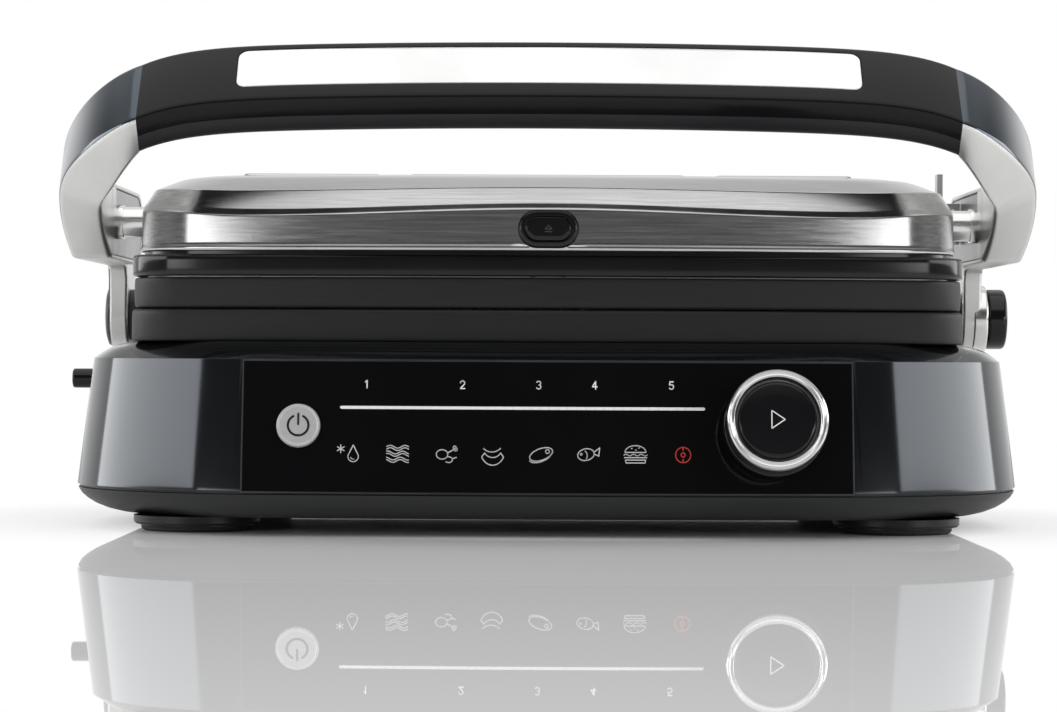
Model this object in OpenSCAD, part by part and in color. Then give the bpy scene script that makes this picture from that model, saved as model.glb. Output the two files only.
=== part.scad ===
// Countertop contact grill: a hinged lid on swing arms over a base with two ribbed plates.
// Millimetres, +Z up, +X to the right, the control panel faces -Y.
// Widths and depths are measured from the middle of the control panel and then shifted, so that the part
// stands centred.

/* [Base] */
// Width of the base across its seam
base_w = 382.8; // [370:0.2:400]
// Height of the flat underside above the table
floor_z = 6; // [5:0.5:8]
// Height of the seam between bottom tray and housing
seam_z = 16.7; // [14:0.1:20]
// Height of the upper edge of the front face
edge_z = 67.9; // [64:0.1:72]
// Rise of the sloped shoulder above that edge
shoulder_h = 6.8; // [5:0.1:9]
// Wall of the plastic housings
wall = 2.4; // [1.8:0.1:3]
// How far the side walls lean in from seam to edge
side_draft = 6.2; // [4:0.1:8]
// How far the front face leans back from seam to edge
front_lean = 9; // [5:0.5:12]
// Plan radius of the bowed front face
front_bow_r = 1100; // [900:10:1600]
// Plan radius of the front corners
front_corner_r = 92; // [70:1:100]
// Plan radius of the rear corners
rear_corner_r = 12; // [8:1:16]

/* [Control panel] */
// Width of the control panel
panel_w = 234; // [220:1:240]
// Thickness of the control panel
panel_t = 2; // [1.5:0.1:3]
// Width of the trim line round the panel
trim_w = 0.6; // [0.4:0.1:1]
// Distance of the turning knob from the middle
knob_x = 86.5; // [80:0.5:92]
// Outer diameter of the knob's ring
knob_d = 38.6; // [34:0.2:42]
// Inner diameter of the knob's ring
knob_face_d = 31.4; // [26:0.2:33]
// How far the knob stands out of the panel
knob_out = 23; // [18:0.5:26]
// Distance of the power button from the middle
power_x = 95.5; // [90:0.5:100]
// Diameter of the power button
power_d = 16.9; // [14:0.1:19]
// Travel of the push buttons
press_travel = 1.2; // [0.8:0.1:1.5]

/* [Plates] */
// Width of the lower plate over its rim
plate_w = 331.4; // [320:0.5:334]
// Depth of the plates
plate_d = 226; // [210:1:230]
// Depth of the plates' front edge behind the panel
plate_front = 22; // [18:1:26]
// Plan radius of the plates' bowed front
plate_bow_r = 800; // [600:10:1000]
// Plan radius of the plates' front corners
plate_corner_r = 22; // [14:1:28]
// Height of the lower plate's rim
lower_plate_h = 12.8; // [11:0.1:15]
// Height of the upper plate's rim
upper_plate_h = 12.2; // [10:0.1:13]
// Thickness of the plate's web under the ribs
web_t = 3; // [2.5:0.1:4]
// Width of the plate's rim wall
rim_t = 5; // [4:0.5:7]
// Spacing of the grill ribs
rib_pitch = 9; // [7:0.5:12]
// Width of a rib at its top
rib_w = 3.4; // [2.5:0.1:5]
// Height of the ribs
rib_h = 3.6; // [2.5:0.1:4]
// Diameter of the tubular heaters
heater_d = 6.6; // [6:0.1:7]

/* [Lid] */
// Width of the metal lid
lid_w = 326; // [316:0.5:330]
// Height of the lid cover from its lower edge to the flat top
lid_h = 32.4; // [30:0.1:38]
// Sheet thickness of the lid cover
lid_t = 1.2; // [0.8:0.1:2]
// Plan radius of the lid's bowed front
lid_bow_r = 650; // [500:10:900]
// Height of the raised bars on the lid
relief_h = 1; // [0.6:0.1:1.5]
// Width of the middle raised bar
relief_mid_w = 113; // [100:1:120]
// Width of the outer raised bars
relief_side_w = 56; // [46:1:60]
// Gap between the raised bars
relief_gap = 12; // [8:0.5:16]
// Height of the black skirt under the lid
skirt_h = 8.2; // [7:0.1:10.5]

/* [Hinge and arms] */
// Depth of the hinge axis behind the panel
hinge_d = 268; // [262:1:276]
// Diameter of the hinge pins
pin_d = 10; // [8:0.5:12]
// Thickness of the hinge brackets
bracket_t = 8.4; // [7:0.2:10]
// How far the arms stand outside the base's seam
arm_out = 9.2; // [8:0.1:12]
// Thickness of the arms
arm_t = 9; // [8.5:0.5:9.5]
// Thickness of the arms round the lid's pivots
arm_thick = 17; // [12:0.5:18]
// Radius of the arm's eye at the hinge
eye_r = 15; // [13:0.5:16]
// Depth of the lid's pivot behind the panel
pivot_d = 150; // [140:1:158]
// Height of the lid's pivot above the parting plane
pivot_up = 38.4; // [34:0.2:40]
// Diameter of the pivot's bright shoulder
pivot_shoulder_d = 13.2; // [11:0.2:15]
// Diameter of the pivot's journal in the lid
pivot_journal_d = 8; // [6:0.5:9]
// Height of the arm's straight stretch
arm_h = 32; // [26:1:34]
// How far the lock lever is bent towards the lid
lever_bend = 10; // [6:0.5:11]

/* [Handle] */
// Half the length of the handle bar
bar_x = 158; // [148:1:160]
// Height of the bar's front edge in the middle
bar_z = 168.6; // [166:0.1:174]
// Width of the bar's broad face
bar_a = 33; // [28:0.5:35]
// Thickness of the bar
bar_b = 18; // [14:0.1:20]
// Angle of the broad face from level
bar_tilt = 46; // [30:1:50]
// How much the even bow of the bar lowers its ends
bar_bow = 3.1; // [2:0.1:5]
// How much the bend near each arm lowers the ends further
bar_drop = 6.4; // [4:0.2:9]
// Length of the bright inlay on each side of the middle
inlay_x = 120.4; // [100:0.2:125]
// Width of the bright inlay
inlay_a = 21; // [18:0.5:24]
// Distance of the inlay from the bar's front edge
inlay_edge = 8; // [6:0.5:9]

/* [Drip tray] */
// Width of the drip tray
tray_w = 180; // [150:1:200]
// Depth of the drip tray
tray_d = 62; // [50:1:70]
// Height of the drip tray
tray_h = 20; // [16:0.5:22]
// Wall of the drip tray
tray_t = 2; // [1.6:0.1:2.5]

/* [Clearances] */
// Radial clearance of turning fits
fit = 0.05; // [0.03:0.01:0.08]
// Gap round parts that slide or drop in
slip = 0.3; // [0.25:0.05:0.4]

/* [Hidden] */
$fn = 48;
eps = 0.01;

deck_z = edge_z + shoulder_h;
parting_z = deck_z + lower_plate_h;
hinge_z = parting_z;
mid_z = (seam_z + edge_z) / 2;
lean_deg = atan(front_lean / (edge_z - seam_z));
base_rear = hinge_d + eye_r + 2;
front_reach = knob_out * cos(lean_deg) + knob_d / 2 * sin(lean_deg) - bow_at(knob_x);
y_mid = (base_rear - front_reach) / 2;

// The two halves of the grill part by this much, so the plates never rub
plate_gap = 0.3;
upper_face_z = parting_z + plate_gap;
upper_top_z = upper_face_z + upper_plate_h;
skirt_z = upper_top_z + 0.8;
skirt_top = skirt_z + skirt_h;
lid_z = skirt_top + 1.3;
lid_top = lid_z + lid_h;
pivot_z = parting_z + pivot_up;
plate_rear = plate_front + plate_d;
upper_plate_w = plate_w - 2;
lid_front = plate_front - 4;
lid_rear = plate_rear + 4;

notch_d = hinge_d - 6;
floor_top = floor_z + wall;

// Colours of the finishes
black = [0.05, 0.05, 0.055];
dark = [0.13, 0.13, 0.13];
plate_grey = [0.2, 0.2, 0.2];
steel = [0.72, 0.72, 0.7];
bright = [0.86, 0.86, 0.84];
board_green = [0.1, 0.35, 0.2];

// Geometry helpers

function arc(cx, cy, r, a0, a1, n, from = 0) =
    [for (i = [from:n]) let (a = a0 + (a1 - a0) * i / n) [cx + r * cos(a), cy + r * sin(a)]];

// Plan outline with a bowed front: half width, front and rear depth, corner radii, bow radius, rear taper
function bowed_outline(hw, yf, yr, rf, rr, bow, taper = 0) =
    let (turn = asin((hw - rf) / (bow - rf)), cy = yf + bow - (bow - rf) * cos(turn))
    concat(
        arc(0, yf + bow, bow, -90 - turn, -90 + turn, 14),
        arc(hw - rf, cy, rf, -90 + turn, 0, 10, 1),
        arc(hw - taper - rr, yr - rr, rr, 0, 90, 6),
        arc(rr + taper - hw, yr - rr, rr, 90, 180, 6),
        arc(rf - hw, cy, rf, 180, 270 - turn, 10)
    );

function ring_at(outline, z) = [for (p = outline) [p.x, p.y, z]];

// Closed solid through rings that all have the same number of points, bottom ring first
module loft(rings) {
    n = len(rings[0]);
    m = len(rings);
    polyhedron(
        points = [for (r = rings) each r],
        faces = concat(
            [[for (i = [0:n - 1]) i]],
            [[for (i = [n - 1:-1:0]) (m - 1) * n + i]],
            [for (k = [0:m - 2]) for (i = [0:n - 1]) [k * n + i, (k + 1) * n + i,
                (k + 1) * n + (i + 1) % n]],
            [for (k = [0:m - 2]) for (i = [0:n - 1]) [k * n + i, (k + 1) * n + (i + 1) % n,
                k * n + (i + 1) % n]]
        )
    );
}

// Depths count from the panel and widths from the panel's middle; this centres the finished pieces
module placed() {
    translate([-x_mid, -y_mid, 0]) children();
}

module block(x0, x1, y0, y1, z0, z1) {
    translate([x0, y0, z0]) cube([x1 - x0, y1 - y0, z1 - z0]);
}

// Cylinder along X from x0 to x1 at depth d and height z
module rod_x(x0, x1, d, z, r) {
    translate([x0, d, z]) rotate([0, 90, 0]) cylinder(h = x1 - x0, r = r);
}

// Plate with rounded corners lying level
module round_slab(w, y0, y1, r, z0, z1) {
    translate([0, 0, z0]) linear_extrude(z1 - z0)
        union() {
            translate([-w / 2 + r, y0]) square([w - 2 * r, y1 - y0]);
            translate([-w / 2, y0 + r]) square([w, y1 - y0 - 2 * r]);
            for (x = [-w / 2 + r, w / 2 - r]) for (y = [y0 + r, y1 - r]) translate([x, y]) circle(r);
        }
}

// Frame that leans with the control panel: origin on the panel's face at mid height, -Y points out
module on_panel(x) {
    translate([x, bow_at(x), mid_z]) rotate([-lean_deg, 0, 0]) children();
}

// Cylinder on the panel's axis, from the depth a behind the face to the depth b, counted outwards
module boss_out(a, b, r) {
    translate([0, -a, 0]) rotate([90, 0, 0]) cylinder(h = b - a, r = r);
}

function lean_at(z) = front_lean * (z - mid_z) / (edge_z - seam_z);
function bow_at(x) = front_bow_r - sqrt(front_bow_r * front_bow_r - x * x);

// Base

// The rear leans in less than the sides, to leave room round the hinge brackets
function base_ring(z, inset, front) =
    ring_at(bowed_outline(base_w / 2 - inset, lean_at(min(z, edge_z)) + front, base_rear - 0.3 * inset,
        front_corner_r - inset, max(5, rear_corner_r - 0.4 * inset), front_bow_r, rear_taper), z);

// Outer skin of the housing grown or shrunk by a wall
function housing_rings(in, top) = [
    base_ring(seam_z, in, in),
    base_ring(edge_z, side_draft + in, in),
    base_ring(edge_z + 0.1 * (shoulder_h - top), side_draft + 0.5 + in, 0.5 + in),
    base_ring(edge_z + 0.72 * (shoulder_h - top), side_draft + 7 + in, 7 + in),
    base_ring(edge_z + shoulder_h - top, side_draft + 15 + in, 14 + in)
];

// Space that the lid needs behind the base when it lies open, up to the hinge brackets
module lid_notch(grow) {
    block(-notch_x - grow, notch_x + grow, notch_d - grow, base_rear + 20, -eps, deck_z + 20);
}

// The arms pass outside the base and leave room for the lock lever beside the lid. Opened, they lie beside
// the base, so its sides draw in towards the rear where the arms are close
arm_x = max(base_w / 2 + arm_out, lid_w / 2 + lever_bend + 4 * slip + arm_thick);
arm_in = arm_x - arm_t;
rear_taper = max(0, base_w / 2 - (arm_in + 1.2));
rear_edge_x = base_w / 2 - rear_taper - side_draft;

opening_x = plate_w / 2 - rim_t - 12;
opening_y0 = plate_front + rim_t + 20;
opening_y1 = plate_rear - rim_t - 12;
tray_open_w = tray_w + 2 * slip;
tray_z = floor_top + 1.5;
bracket_x1 = rear_edge_x - wall - 2 * slip;
bracket_x0 = bracket_x1 - bracket_t;
notch_x = bracket_x0 - wall - 1;
bracket_w = 18;
gutter_w = 60;

// Columns of the housing that the base screws hold
column_r = 4.5;
column_spots = [for (s = [-1, 1]) each [
    [s * 98, opening_y0 - 8], [s * (notch_x - 6), pivot_d - 45], [s * (notch_x - 6), hinge_d - 52]
]];

module base_housing() placed() color(black) difference() {
    union() {
        difference() {
            difference() {
                loft(housing_rings(0, 0));
                lid_notch(0);
            }
            difference() {
                translate([0, 0, -eps]) loft(housing_rings(wall, wall));
                lid_notch(wall);
            }
        }
        for (p = column_spots) translate([p.x, p.y, seam_z + 0.2])
            cylinder(h = deck_z - seam_z - wall / 2, r = column_r);
    }
    for (p = column_spots) translate([p.x, p.y, seam_z - 1]) cylinder(h = 16, r = screw_r + fit);
    block(-opening_x, opening_x, opening_y0, opening_y1, edge_z - 1, deck_z + 1);
    block(-gutter_w / 2, gutter_w / 2, plate_rear - 6, notch_d - wall - 3, edge_z - 1, deck_z + 1);
    block(-panel_w / 2 - trim_w, panel_w / 2 + trim_w, -20, 16, panel_z0 - trim_w, panel_z1 + trim_w);
    for (s = [-1, 1]) scale([s, 1, 1])
        block(bracket_x0 - slip, bracket_x1 + slip, hinge_d - bracket_w / 2 - slip,
            hinge_d + bracket_w / 2 + slip, edge_z - 3, deck_z + 1);
    block(-latch_x - 1.8, -latch_x + release_travel + latch_t + 0.9, release_d - latch_half - 2,
        release_d + latch_half + 2, edge_z - 1, deck_z + 1);
    block(-tray_open_w / 2, tray_open_w / 2, notch_d - wall - 1, notch_d + 1, seam_z - 1,
        tray_z + tray_h + slip);
    rod_x(-base_w / 2 - 1, -base_w / 2 + 30, release_d, release_z, release_r + slip);
    translate([gland_x, notch_d + 1, gland_z]) rotate([90, 0, 0])
        cylinder(h = wall + 2, r = gland_r + fit);
}

// Tray that closes the base from below
module base_bottom() placed() color(dark) difference() {
    union() {
        difference() {
            difference() {
                loft(bottom_rings(0));
                lid_notch(0);
            }
            difference() {
                translate([0, 0, wall]) loft(bottom_rings(wall));
                lid_notch(wall);
            }
            block(-tray_open_w / 2, tray_open_w / 2, notch_d - wall - 1, notch_d + 1, tray_z - slip,
                seam_z + 1);
        }
        for (p = column_spots) translate([p.x, p.y, floor_top - eps])
            cylinder(h = seam_z - floor_top, r = column_r);
        for (s = [-1, 1]) translate([s * bracket_screw_x, bracket_screw_d, floor_top - eps])
            cylinder(h = seam_z - 2 - floor_top + eps, r = column_r);
    }
    for (p = column_spots) translate([p.x, p.y, floor_z - 1]) cylinder(h = 20, r = screw_r + fit);
    for (p = column_spots) translate([p.x, p.y, floor_z - 1])
        cylinder(h = 1 + head_h + 0.4, r = head_r + slip);
    for (s = [-1, 1]) translate([s * bracket_screw_x, bracket_screw_d, seam_z - 5])
        cylinder(h = 6, r = screw_r + fit);
    for (p = foot_spots) translate([p.x, p.y, floor_z - 1]) cylinder(h = wall + 2, r = foot_stud_r + fit);
}

function bottom_rings(in) = [
    bottom_ring(floor_z, 25 + in * 0.6),
    bottom_ring(floor_z + 1.3, 13 + in * 0.9),
    bottom_ring(seam_z - 2.2, 0.8 + in),
    bottom_ring(seam_z + (in > 0 ? 1 : 0), in)
];
function bottom_ring(z, inset) =
    ring_at(bowed_outline(base_w / 2 - inset, lean_at(seam_z) + inset, base_rear - 0.3 * inset,
        front_corner_r - inset, max(5, rear_corner_r - 0.4 * inset), front_bow_r, rear_taper), z);

foot_x = 139;
foot_front = 52;
foot_r = 25;
foot_pad_r = 22.5;
pad_h = 2;
foot_stud_r = 4;
foot_rear = notch_d - foot_r - 12;
foot_spots = [for (x = [-foot_x, foot_x]) for (y = [foot_front, foot_rear]) [x, y]];

module feet() placed() color(dark) for (p = foot_spots) translate([p.x, p.y, 0])
    rotate_extrude() polygon([
        [0, pad_h], [foot_pad_r, pad_h], [foot_pad_r, pad_h + 0.6], [foot_r - 0.8, pad_h + 0.6],
        [foot_r, pad_h + 1.4], [foot_r, floor_z], [foot_stud_r, floor_z],
        [foot_stud_r, floor_top], [0, floor_top]
    ]);

module foot_pads() placed() color(black) for (p = foot_spots) translate([p.x, p.y, 0])
    rotate_extrude() polygon([[0, 0], [foot_pad_r - 1.5, 0], [foot_pad_r - 0.5, 0.8],
        [foot_pad_r - 0.5, pad_h], [0, pad_h]]);

screw_r = 1.5;
head_r = 3;
head_h = 1.6;

module screw(length) {
    cylinder(h = head_h, r = head_r);
    translate([0, 0, head_h - eps]) cylinder(h = length, r = screw_r);
}

module base_screws() placed() color(steel) for (p = column_spots)
    translate([p.x, p.y, floor_z + 0.4]) screw(seam_z - floor_z + 4);

// Control panel

panel_z0 = seam_z + 0.6;
panel_z1 = edge_z - 0.8;

// Bent strip that follows the leaning, bowed front, from the face's depth a to the depth b
module front_strip(hw, z0, z1, a, b) {
    n = 16;
    reach = (z1 - z0) / cos(lean_deg) + 10;
    xs = [for (i = [-n / 2:n / 2]) hw * i / (n / 2)];
    band = concat(
        [for (x = xs) [x, (bow_at(x) + a) * cos(lean_deg)]],
        [for (i = [n:-1:0]) [xs[i], (bow_at(xs[i]) + b) * cos(lean_deg)]]
    );
    intersection() {
        translate([0, 0, mid_z]) rotate([-lean_deg, 0, 0]) translate([0, 0, -reach / 2])
            linear_extrude(reach) polygon(band);
        block(-hw - 1, hw + 1, -30, 30, z0, z1);
    }
}

module control_panel() placed() color(black) difference() {
    front_strip(panel_w / 2, panel_z0, panel_z1, 0, panel_t);
    on_panel(knob_x) boss_out(-10, 10, encoder_r + 0.6);
    on_panel(-power_x) boss_out(-10, 10, power_d / 2 + slip);
}

module panel_trim() placed() color(steel) difference() {
    front_strip(panel_w / 2 + trim_w, panel_z0 - trim_w, panel_z1 + trim_w, 0.1, panel_t);
    front_strip(panel_w / 2, panel_z0, panel_z1, -1, panel_t + 1);
}

encoder_r = 8;
encoder_d = 12;
board_back = panel_t + wall + 8;
board_t = 1.6;
board_post_x = panel_w / 2 - 14;
shaft_r = 3;

module control_board() placed() color(board_green) difference() {
    on_panel(0) union() {
        translate([-panel_w / 2 + 8, board_back, -20]) cube([panel_w - 16, board_t, 40]);
        // Switch under the power button
        translate([-power_x - 4, switch_face, -4]) cube([8, board_back - switch_face + eps, 8]);
        // Posts that hold the board behind the panel
        for (x = [-board_post_x, board_post_x]) for (z = [-15, 15]) translate([x, board_back + eps, z])
            boss_out(0, board_back - panel_t - bow_at(board_post_x) - 0.35, 3);
    }
    on_panel(knob_x) boss_out(-40, 0, encoder_r + 1);
}
switch_face = bow_at(power_x) + panel_t + 4.6;

// Rotary encoder that carries the knob
module encoder_body() placed() color(steel) difference() {
    on_panel(knob_x) union() {
        boss_out(-encoder_d, 3, encoder_r);
        translate([0, board_back + board_t - bow_at(knob_x) * cos(lean_deg) + 4.02, 0])
            boss_out(0, 4, encoder_r + 5);
    }
    on_panel(knob_x) boss_out(-encoder_d + 2, 5, shaft_r + fit);
}

// Axis of the knob: a shaft in the encoder, a black body and a bright ring
knob_gap = 1.6;
knob_base_r = knob_d / 2 + 0.5;
cap_r = knob_face_d / 2 - 0.8;
cap_depth = 6;

module knob_body() placed() color(black) on_panel(knob_x) union() {
    difference() {
        union() {
            boss_out(3 + slip, knob_out - 6, knob_base_r - 1.6);
            boss_out(knob_gap + slip, 9, knob_base_r);
        }
        boss_out(knob_out - cap_depth - 5, knob_out, cap_r + 0.15);
        boss_out(0, 3 + slip, encoder_r + 0.6);
    }
    boss_out(-encoder_d + 2 + slip, 6, shaft_r);
}

module knob_ring() placed() color(bright) on_panel(knob_x) rotate([90, 0, 0])
    rotate_extrude($fn = 64) polygon([
        [knob_face_d / 2, knob_out - 6], [knob_d / 2, knob_out - 6], [knob_d / 2 + 0.2, knob_out - 3],
        [knob_d / 2 - 0.5, knob_out - 0.6], [knob_d / 2 - 1.2, knob_out],
        [(knob_d + knob_face_d) / 4, knob_out - 0.5], [knob_face_d / 2 + 0.9, knob_out],
        [knob_face_d / 2 + 0.1, knob_out - 0.8]
    ]);

// Centre cap of the knob, pressed to start
module start_button() placed() color(black) on_panel(knob_x) rotate([90, 0, 0])
    rotate_extrude($fn = 64) polygon([
        [0, knob_out - cap_depth], [cap_r, knob_out - cap_depth], [cap_r, knob_out - 2.4],
        [cap_r - 0.8, knob_out - 1.6], [cap_r * 0.6, knob_out - 1.1], [0, knob_out - 0.9]
    ]);

module power_button() placed() color(bright) on_panel(-power_x) union() {
    rotate([90, 0, 0]) rotate_extrude($fn = 64) polygon([
        [0, -0.6], [power_d / 2, -0.6], [power_d / 2, 1.5], [power_d / 2 - 0.6, 2],
            [power_d / 2 - 1.2, 1.8], [0, 1.8]
    ]);
    boss_out(-panel_t - 4.6 + press_travel + slip, 0, 3.4);
}

// Electrical parts inside the base

supply_x0 = -120;
supply_x1 = 20;
supply_y0 = 70;
supply_y1 = 150;
supply_z = floor_top + 5;
post_in = 8;

module power_board() placed() color(board_green) {
    block(supply_x0, supply_x1, supply_y0, supply_y1, supply_z, supply_z + board_t);
    for (x = [supply_x0 + post_in, supply_x1 - post_in]) for (y = [supply_y0 + post_in,
        supply_y1 - post_in])
        translate([x, y, floor_top]) cylinder(h = supply_z - floor_top + eps, r = 3);
    block(supply_x0 + 20, supply_x0 + 48, supply_y0 + 14, supply_y0 + 48, supply_z + board_t - eps,
        supply_z + 21);
    block(supply_x0 + 60, supply_x0 + 76, supply_y0 + 20, supply_y0 + 40, supply_z + board_t - eps,
        supply_z + 17);
    translate([supply_x0 + 100, supply_y0 + 38, supply_z + board_t - eps]) cylinder(h = 22, r = 8);
}

module terminal_block() placed() color([0.85, 0.84, 0.78])
    difference() {
        block(gland_x - 24, gland_x + 8, notch_d - 42, notch_d - 26, floor_top, floor_top + 16);
        for (x = [gland_x - 16, gland_x - 8, gland_x])
            translate([x, notch_d - 34, floor_top + 6]) cylinder(h = 12, r = 2.2);
    }

// Inlet where the mains lead enters at the back
gland_x = 125;
gland_z = 44;
gland_r = 6;
lead_r = 3.6;

module cord_gland() placed() color(black) translate([gland_x, notch_d, gland_z]) rotate([90, 0, 0])
    rotate_extrude() polygon([
        [lead_r, -3.5], [gland_r + 1.6, -3.5], [gland_r + 2.4, -2.8], [gland_r + 2.4, 0], [gland_r, 0],
        [gland_r, wall], [gland_r + 1.5, wall], [gland_r + 1.5, wall + 2], [lead_r, wall + 2]
    ]);

// Plates, pans and heaters

// Comb profile of the grill ribs across a plate of half width hw
module rib_profile(hw, h) {
    count = floor((2 * hw - 8) / rib_pitch);
    for (i = [0:count - 1]) let (x = (i - (count - 1) / 2) * rib_pitch)
        polygon([[x - rib_w / 2 - 1, -eps], [x + rib_w / 2 + 1, -eps], [x + rib_w / 2, h],
            [x - rib_w / 2, h]]);
}

// Plan outline of a plate of width w, drawn in by an inset
function plate_outline(w, inset) =
    bowed_outline(w / 2 - inset, plate_front + inset, plate_rear - inset,
        plate_corner_r - inset, max(4, 10 - inset), plate_bow_r);

module plate_slab(w, inset, z0, z1) {
    translate([0, 0, z0]) linear_extrude(z1 - z0) polygon(plate_outline(w, inset));
}

// Cast plate, cooking face up, rim bottom at z = 0
module grill_plate(w, h) {
    web_top = h - rib_h - 0.5;
    difference() {
        plate_slab(w, 0, 0, h);
        plate_slab(w, rim_t, web_top, h + 1);
        plate_slab(w, rim_t, -1, web_top - web_t);
    }
    intersection() {
        translate([0, plate_rear, web_top]) rotate([90, 0, 0]) linear_extrude(plate_d)
            rib_profile(w / 2 - rim_t - 4, rib_h);
        plate_slab(w, rim_t + 6, web_top - 1, h);
    }
}

module lower_plate() placed() color(plate_grey) difference() {
    translate([0, 0, deck_z]) grill_plate(plate_w, lower_plate_h);
    // Spout in the rear rim
    block(-13, 13, plate_rear - rim_t - 1, plate_rear + 1, parting_z - rib_h - 0.5, parting_z + 1);
    // Notch for the latch in the left rim
    block(-latch_x - 0.8 - latch_lip, -latch_x + 2, release_d - latch_half - 1,
        release_d + latch_half + 1, deck_z + 1.8, deck_z + 4.2);
}

module upper_plate() placed() color(plate_grey) difference() {
    translate([0, 0, upper_top_z]) mirror([0, 0, 1]) grill_plate(upper_plate_w, upper_plate_h);
    // Notch for the latch in the front rim
    block(-latch_half - 1, latch_half + 1, lid_latch_d - 0.8 - latch_lip, lid_latch_d + 2,
        upper_top_z - 3.6, upper_top_z - 1.2);
}

// Pressed tray of the base: flange on the deck, floor drop below it
module pan(hw, y0, y1, drop) {
    difference() {
        union() {
            round_slab(2 * hw + 6, y0 - 3, y1 + 3, 6, 0, 1);
            round_slab(2 * hw, y0, y1, 5, -drop - 1, 0.5);
        }
        round_slab(2 * hw - 2, y0 + 1, y1 - 1, 4, -drop, 2);
    }
}

// Pressed tray of the lid, open downwards
module pan_up(hw, y0, y1, rise) {
    difference() {
        union() {
            round_slab(2 * hw + 6, y0 - 3, y1 + 3, 6, 0, 1);
            round_slab(2 * hw, y0, y1, 5, 0.5, rise + 1);
        }
        round_slab(2 * hw - 2, y0 + 1, y1 - 1, 4, -1, rise);
    }
}

lower_web_z = deck_z + lower_plate_h - rib_h - 0.5 - web_t;
upper_web_z = upper_top_z - (upper_plate_h - rib_h - 0.5 - web_t);
lower_tube_z = lower_web_z - slip - heater_d / 2;
upper_tube_z = upper_web_z + slip + heater_d / 2;
lower_pan_drop = deck_z - (lower_tube_z - heater_d / 2);
upper_pan_rise = upper_tube_z + heater_d / 2 - upper_top_z;
pan_x = opening_x - 1;
pan_y0 = opening_y0 + 1;
pan_y1 = opening_y1 - 1;

module lower_pan() placed() color(steel) difference() {
    translate([0, 0, deck_z]) pan(pan_x, pan_y0, pan_y1, lower_pan_drop);
    translate([0, (pan_y0 + pan_y1) / 2, deck_z - 20]) cylinder(h = 30, r = sensor_r + fit);
}

module lid_pan() placed() color(steel) difference() {
    union() {
        translate([0, 0, upper_top_z]) pan_up(pan_x, pan_y0, pan_y1, upper_pan_rise);
        // Flange that carries the skirt and the pivot bushes
        difference() {
            plate_slab(upper_plate_w, rim_t + slip, upper_top_z, upper_top_z + 1);
            round_slab(2 * pan_x, pan_y0, pan_y1, 5, upper_top_z - 1, upper_top_z + 2);
        }
    }
    translate([0, (pan_y0 + pan_y1) / 2, upper_top_z - 10]) cylinder(h = 40, r = sensor_r + fit);
    block(-latch_half - 2, latch_half + 2, lid_latch_d - 0.6, lid_latch_d + 2.6 + lid_release_travel,
        upper_top_z - 1, upper_top_z + 2);
}

sensor_r = 5;

// M-shaped heater: straight runs joined by half turns, centred at the origin's depth
module heater_loop(z) {
    r = heater_d / 2;
    runs = 4;
    pitch = 2 * (pan_x - 22) / (runs - 1);
    y0 = pan_y0 + pitch / 2 + 6;
    y1 = pan_y1 - pitch / 2 - 6;
    for (i = [0:runs - 1]) let (x = (i - (runs - 1) / 2) * pitch)
        translate([x, y0, z]) rotate([-90, 0, 0]) cylinder(h = y1 - y0, r = r, $fn = 32);
    for (i = [0:runs - 2]) let (x = (i - (runs - 2) / 2) * pitch, up = i % 2 == 0)
        translate([x, up ? y1 : y0, z]) rotate([0, 0, up ? 0 : 180])
            rotate_extrude(angle = 180, $fn = 64) translate([pitch / 2, 0]) circle(r, $fn = 32);
}

module lower_heater() placed() color(steel) heater_loop(lower_tube_z);
module upper_heater() placed() color(steel) heater_loop(upper_tube_z);

module lower_sensor() placed() color(bright)
    translate([0, (pan_y0 + pan_y1) / 2, lower_web_z - slip - 16]) cylinder(h = 16, r = sensor_r);
module upper_sensor() placed() color(bright)
    translate([0, (pan_y0 + pan_y1) / 2, upper_web_z + slip]) cylinder(h = 14, r = sensor_r);

// Drip tray that slides out at the back

module tray_runners() placed() color(dark) for (s = [-1, 1]) scale([s, 1, 1]) {
    block(tray_w / 2 + slip, tray_w / 2 + slip + 4, notch_d - tray_d, notch_d - wall - 0.2, floor_top,
        tray_z + tray_h);
    block(tray_w / 2 - 5, tray_w / 2 + slip + eps, notch_d - tray_d, notch_d - wall - 0.2, floor_top,
        tray_z - slip);
}

module drip_tray() placed() color(black) difference() {
    union() {
        block(-tray_w / 2, tray_w / 2, notch_d - tray_d, notch_d, tray_z, tray_z + tray_h);
        block(-tray_w / 2 + 20, tray_w / 2 - 20, notch_d - 1, notch_d + 3, tray_z + tray_h - 4,
            tray_z + tray_h);
    }
    block(-tray_w / 2 + tray_t, tray_w / 2 - tray_t, notch_d - tray_d + tray_t, notch_d - tray_t,
        tray_z + tray_t, tray_z + tray_h + 1);
}

// Release of the lower plate: a side button with its latch

release_d = 169;
release_z = 59;
release_r = 4.2;
release_out = 204.8;
release_travel = 2.5;
latch_t = 1.5;
latch_lip = 1.6;
latch_half = 5;
latch_x = plate_w / 2 - rim_t;

module lower_release_button() placed() color(black) union() {
    rod_x(-release_out, -latch_x + 0.8, release_d, release_z, release_r);
}

// Upright spring plate whose lip holds the plate's rim from inside
module lower_latch() placed() color(steel) union() {
    block(-latch_x + 0.8, -latch_x + 0.8 + latch_t, release_d - latch_half, release_d + latch_half,
        release_z - 5, deck_z + 3.6);
    block(-latch_x - latch_lip, -latch_x + 0.8 + eps, release_d - latch_half, release_d + latch_half,
        deck_z + 2.4, deck_z + 3.6);
}

// Hinge brackets and pins

bracket_screw_x = bracket_x0 - 1;
bracket_screw_d = hinge_d - 28;
bracket_foot_z = seam_z - 2;

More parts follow.
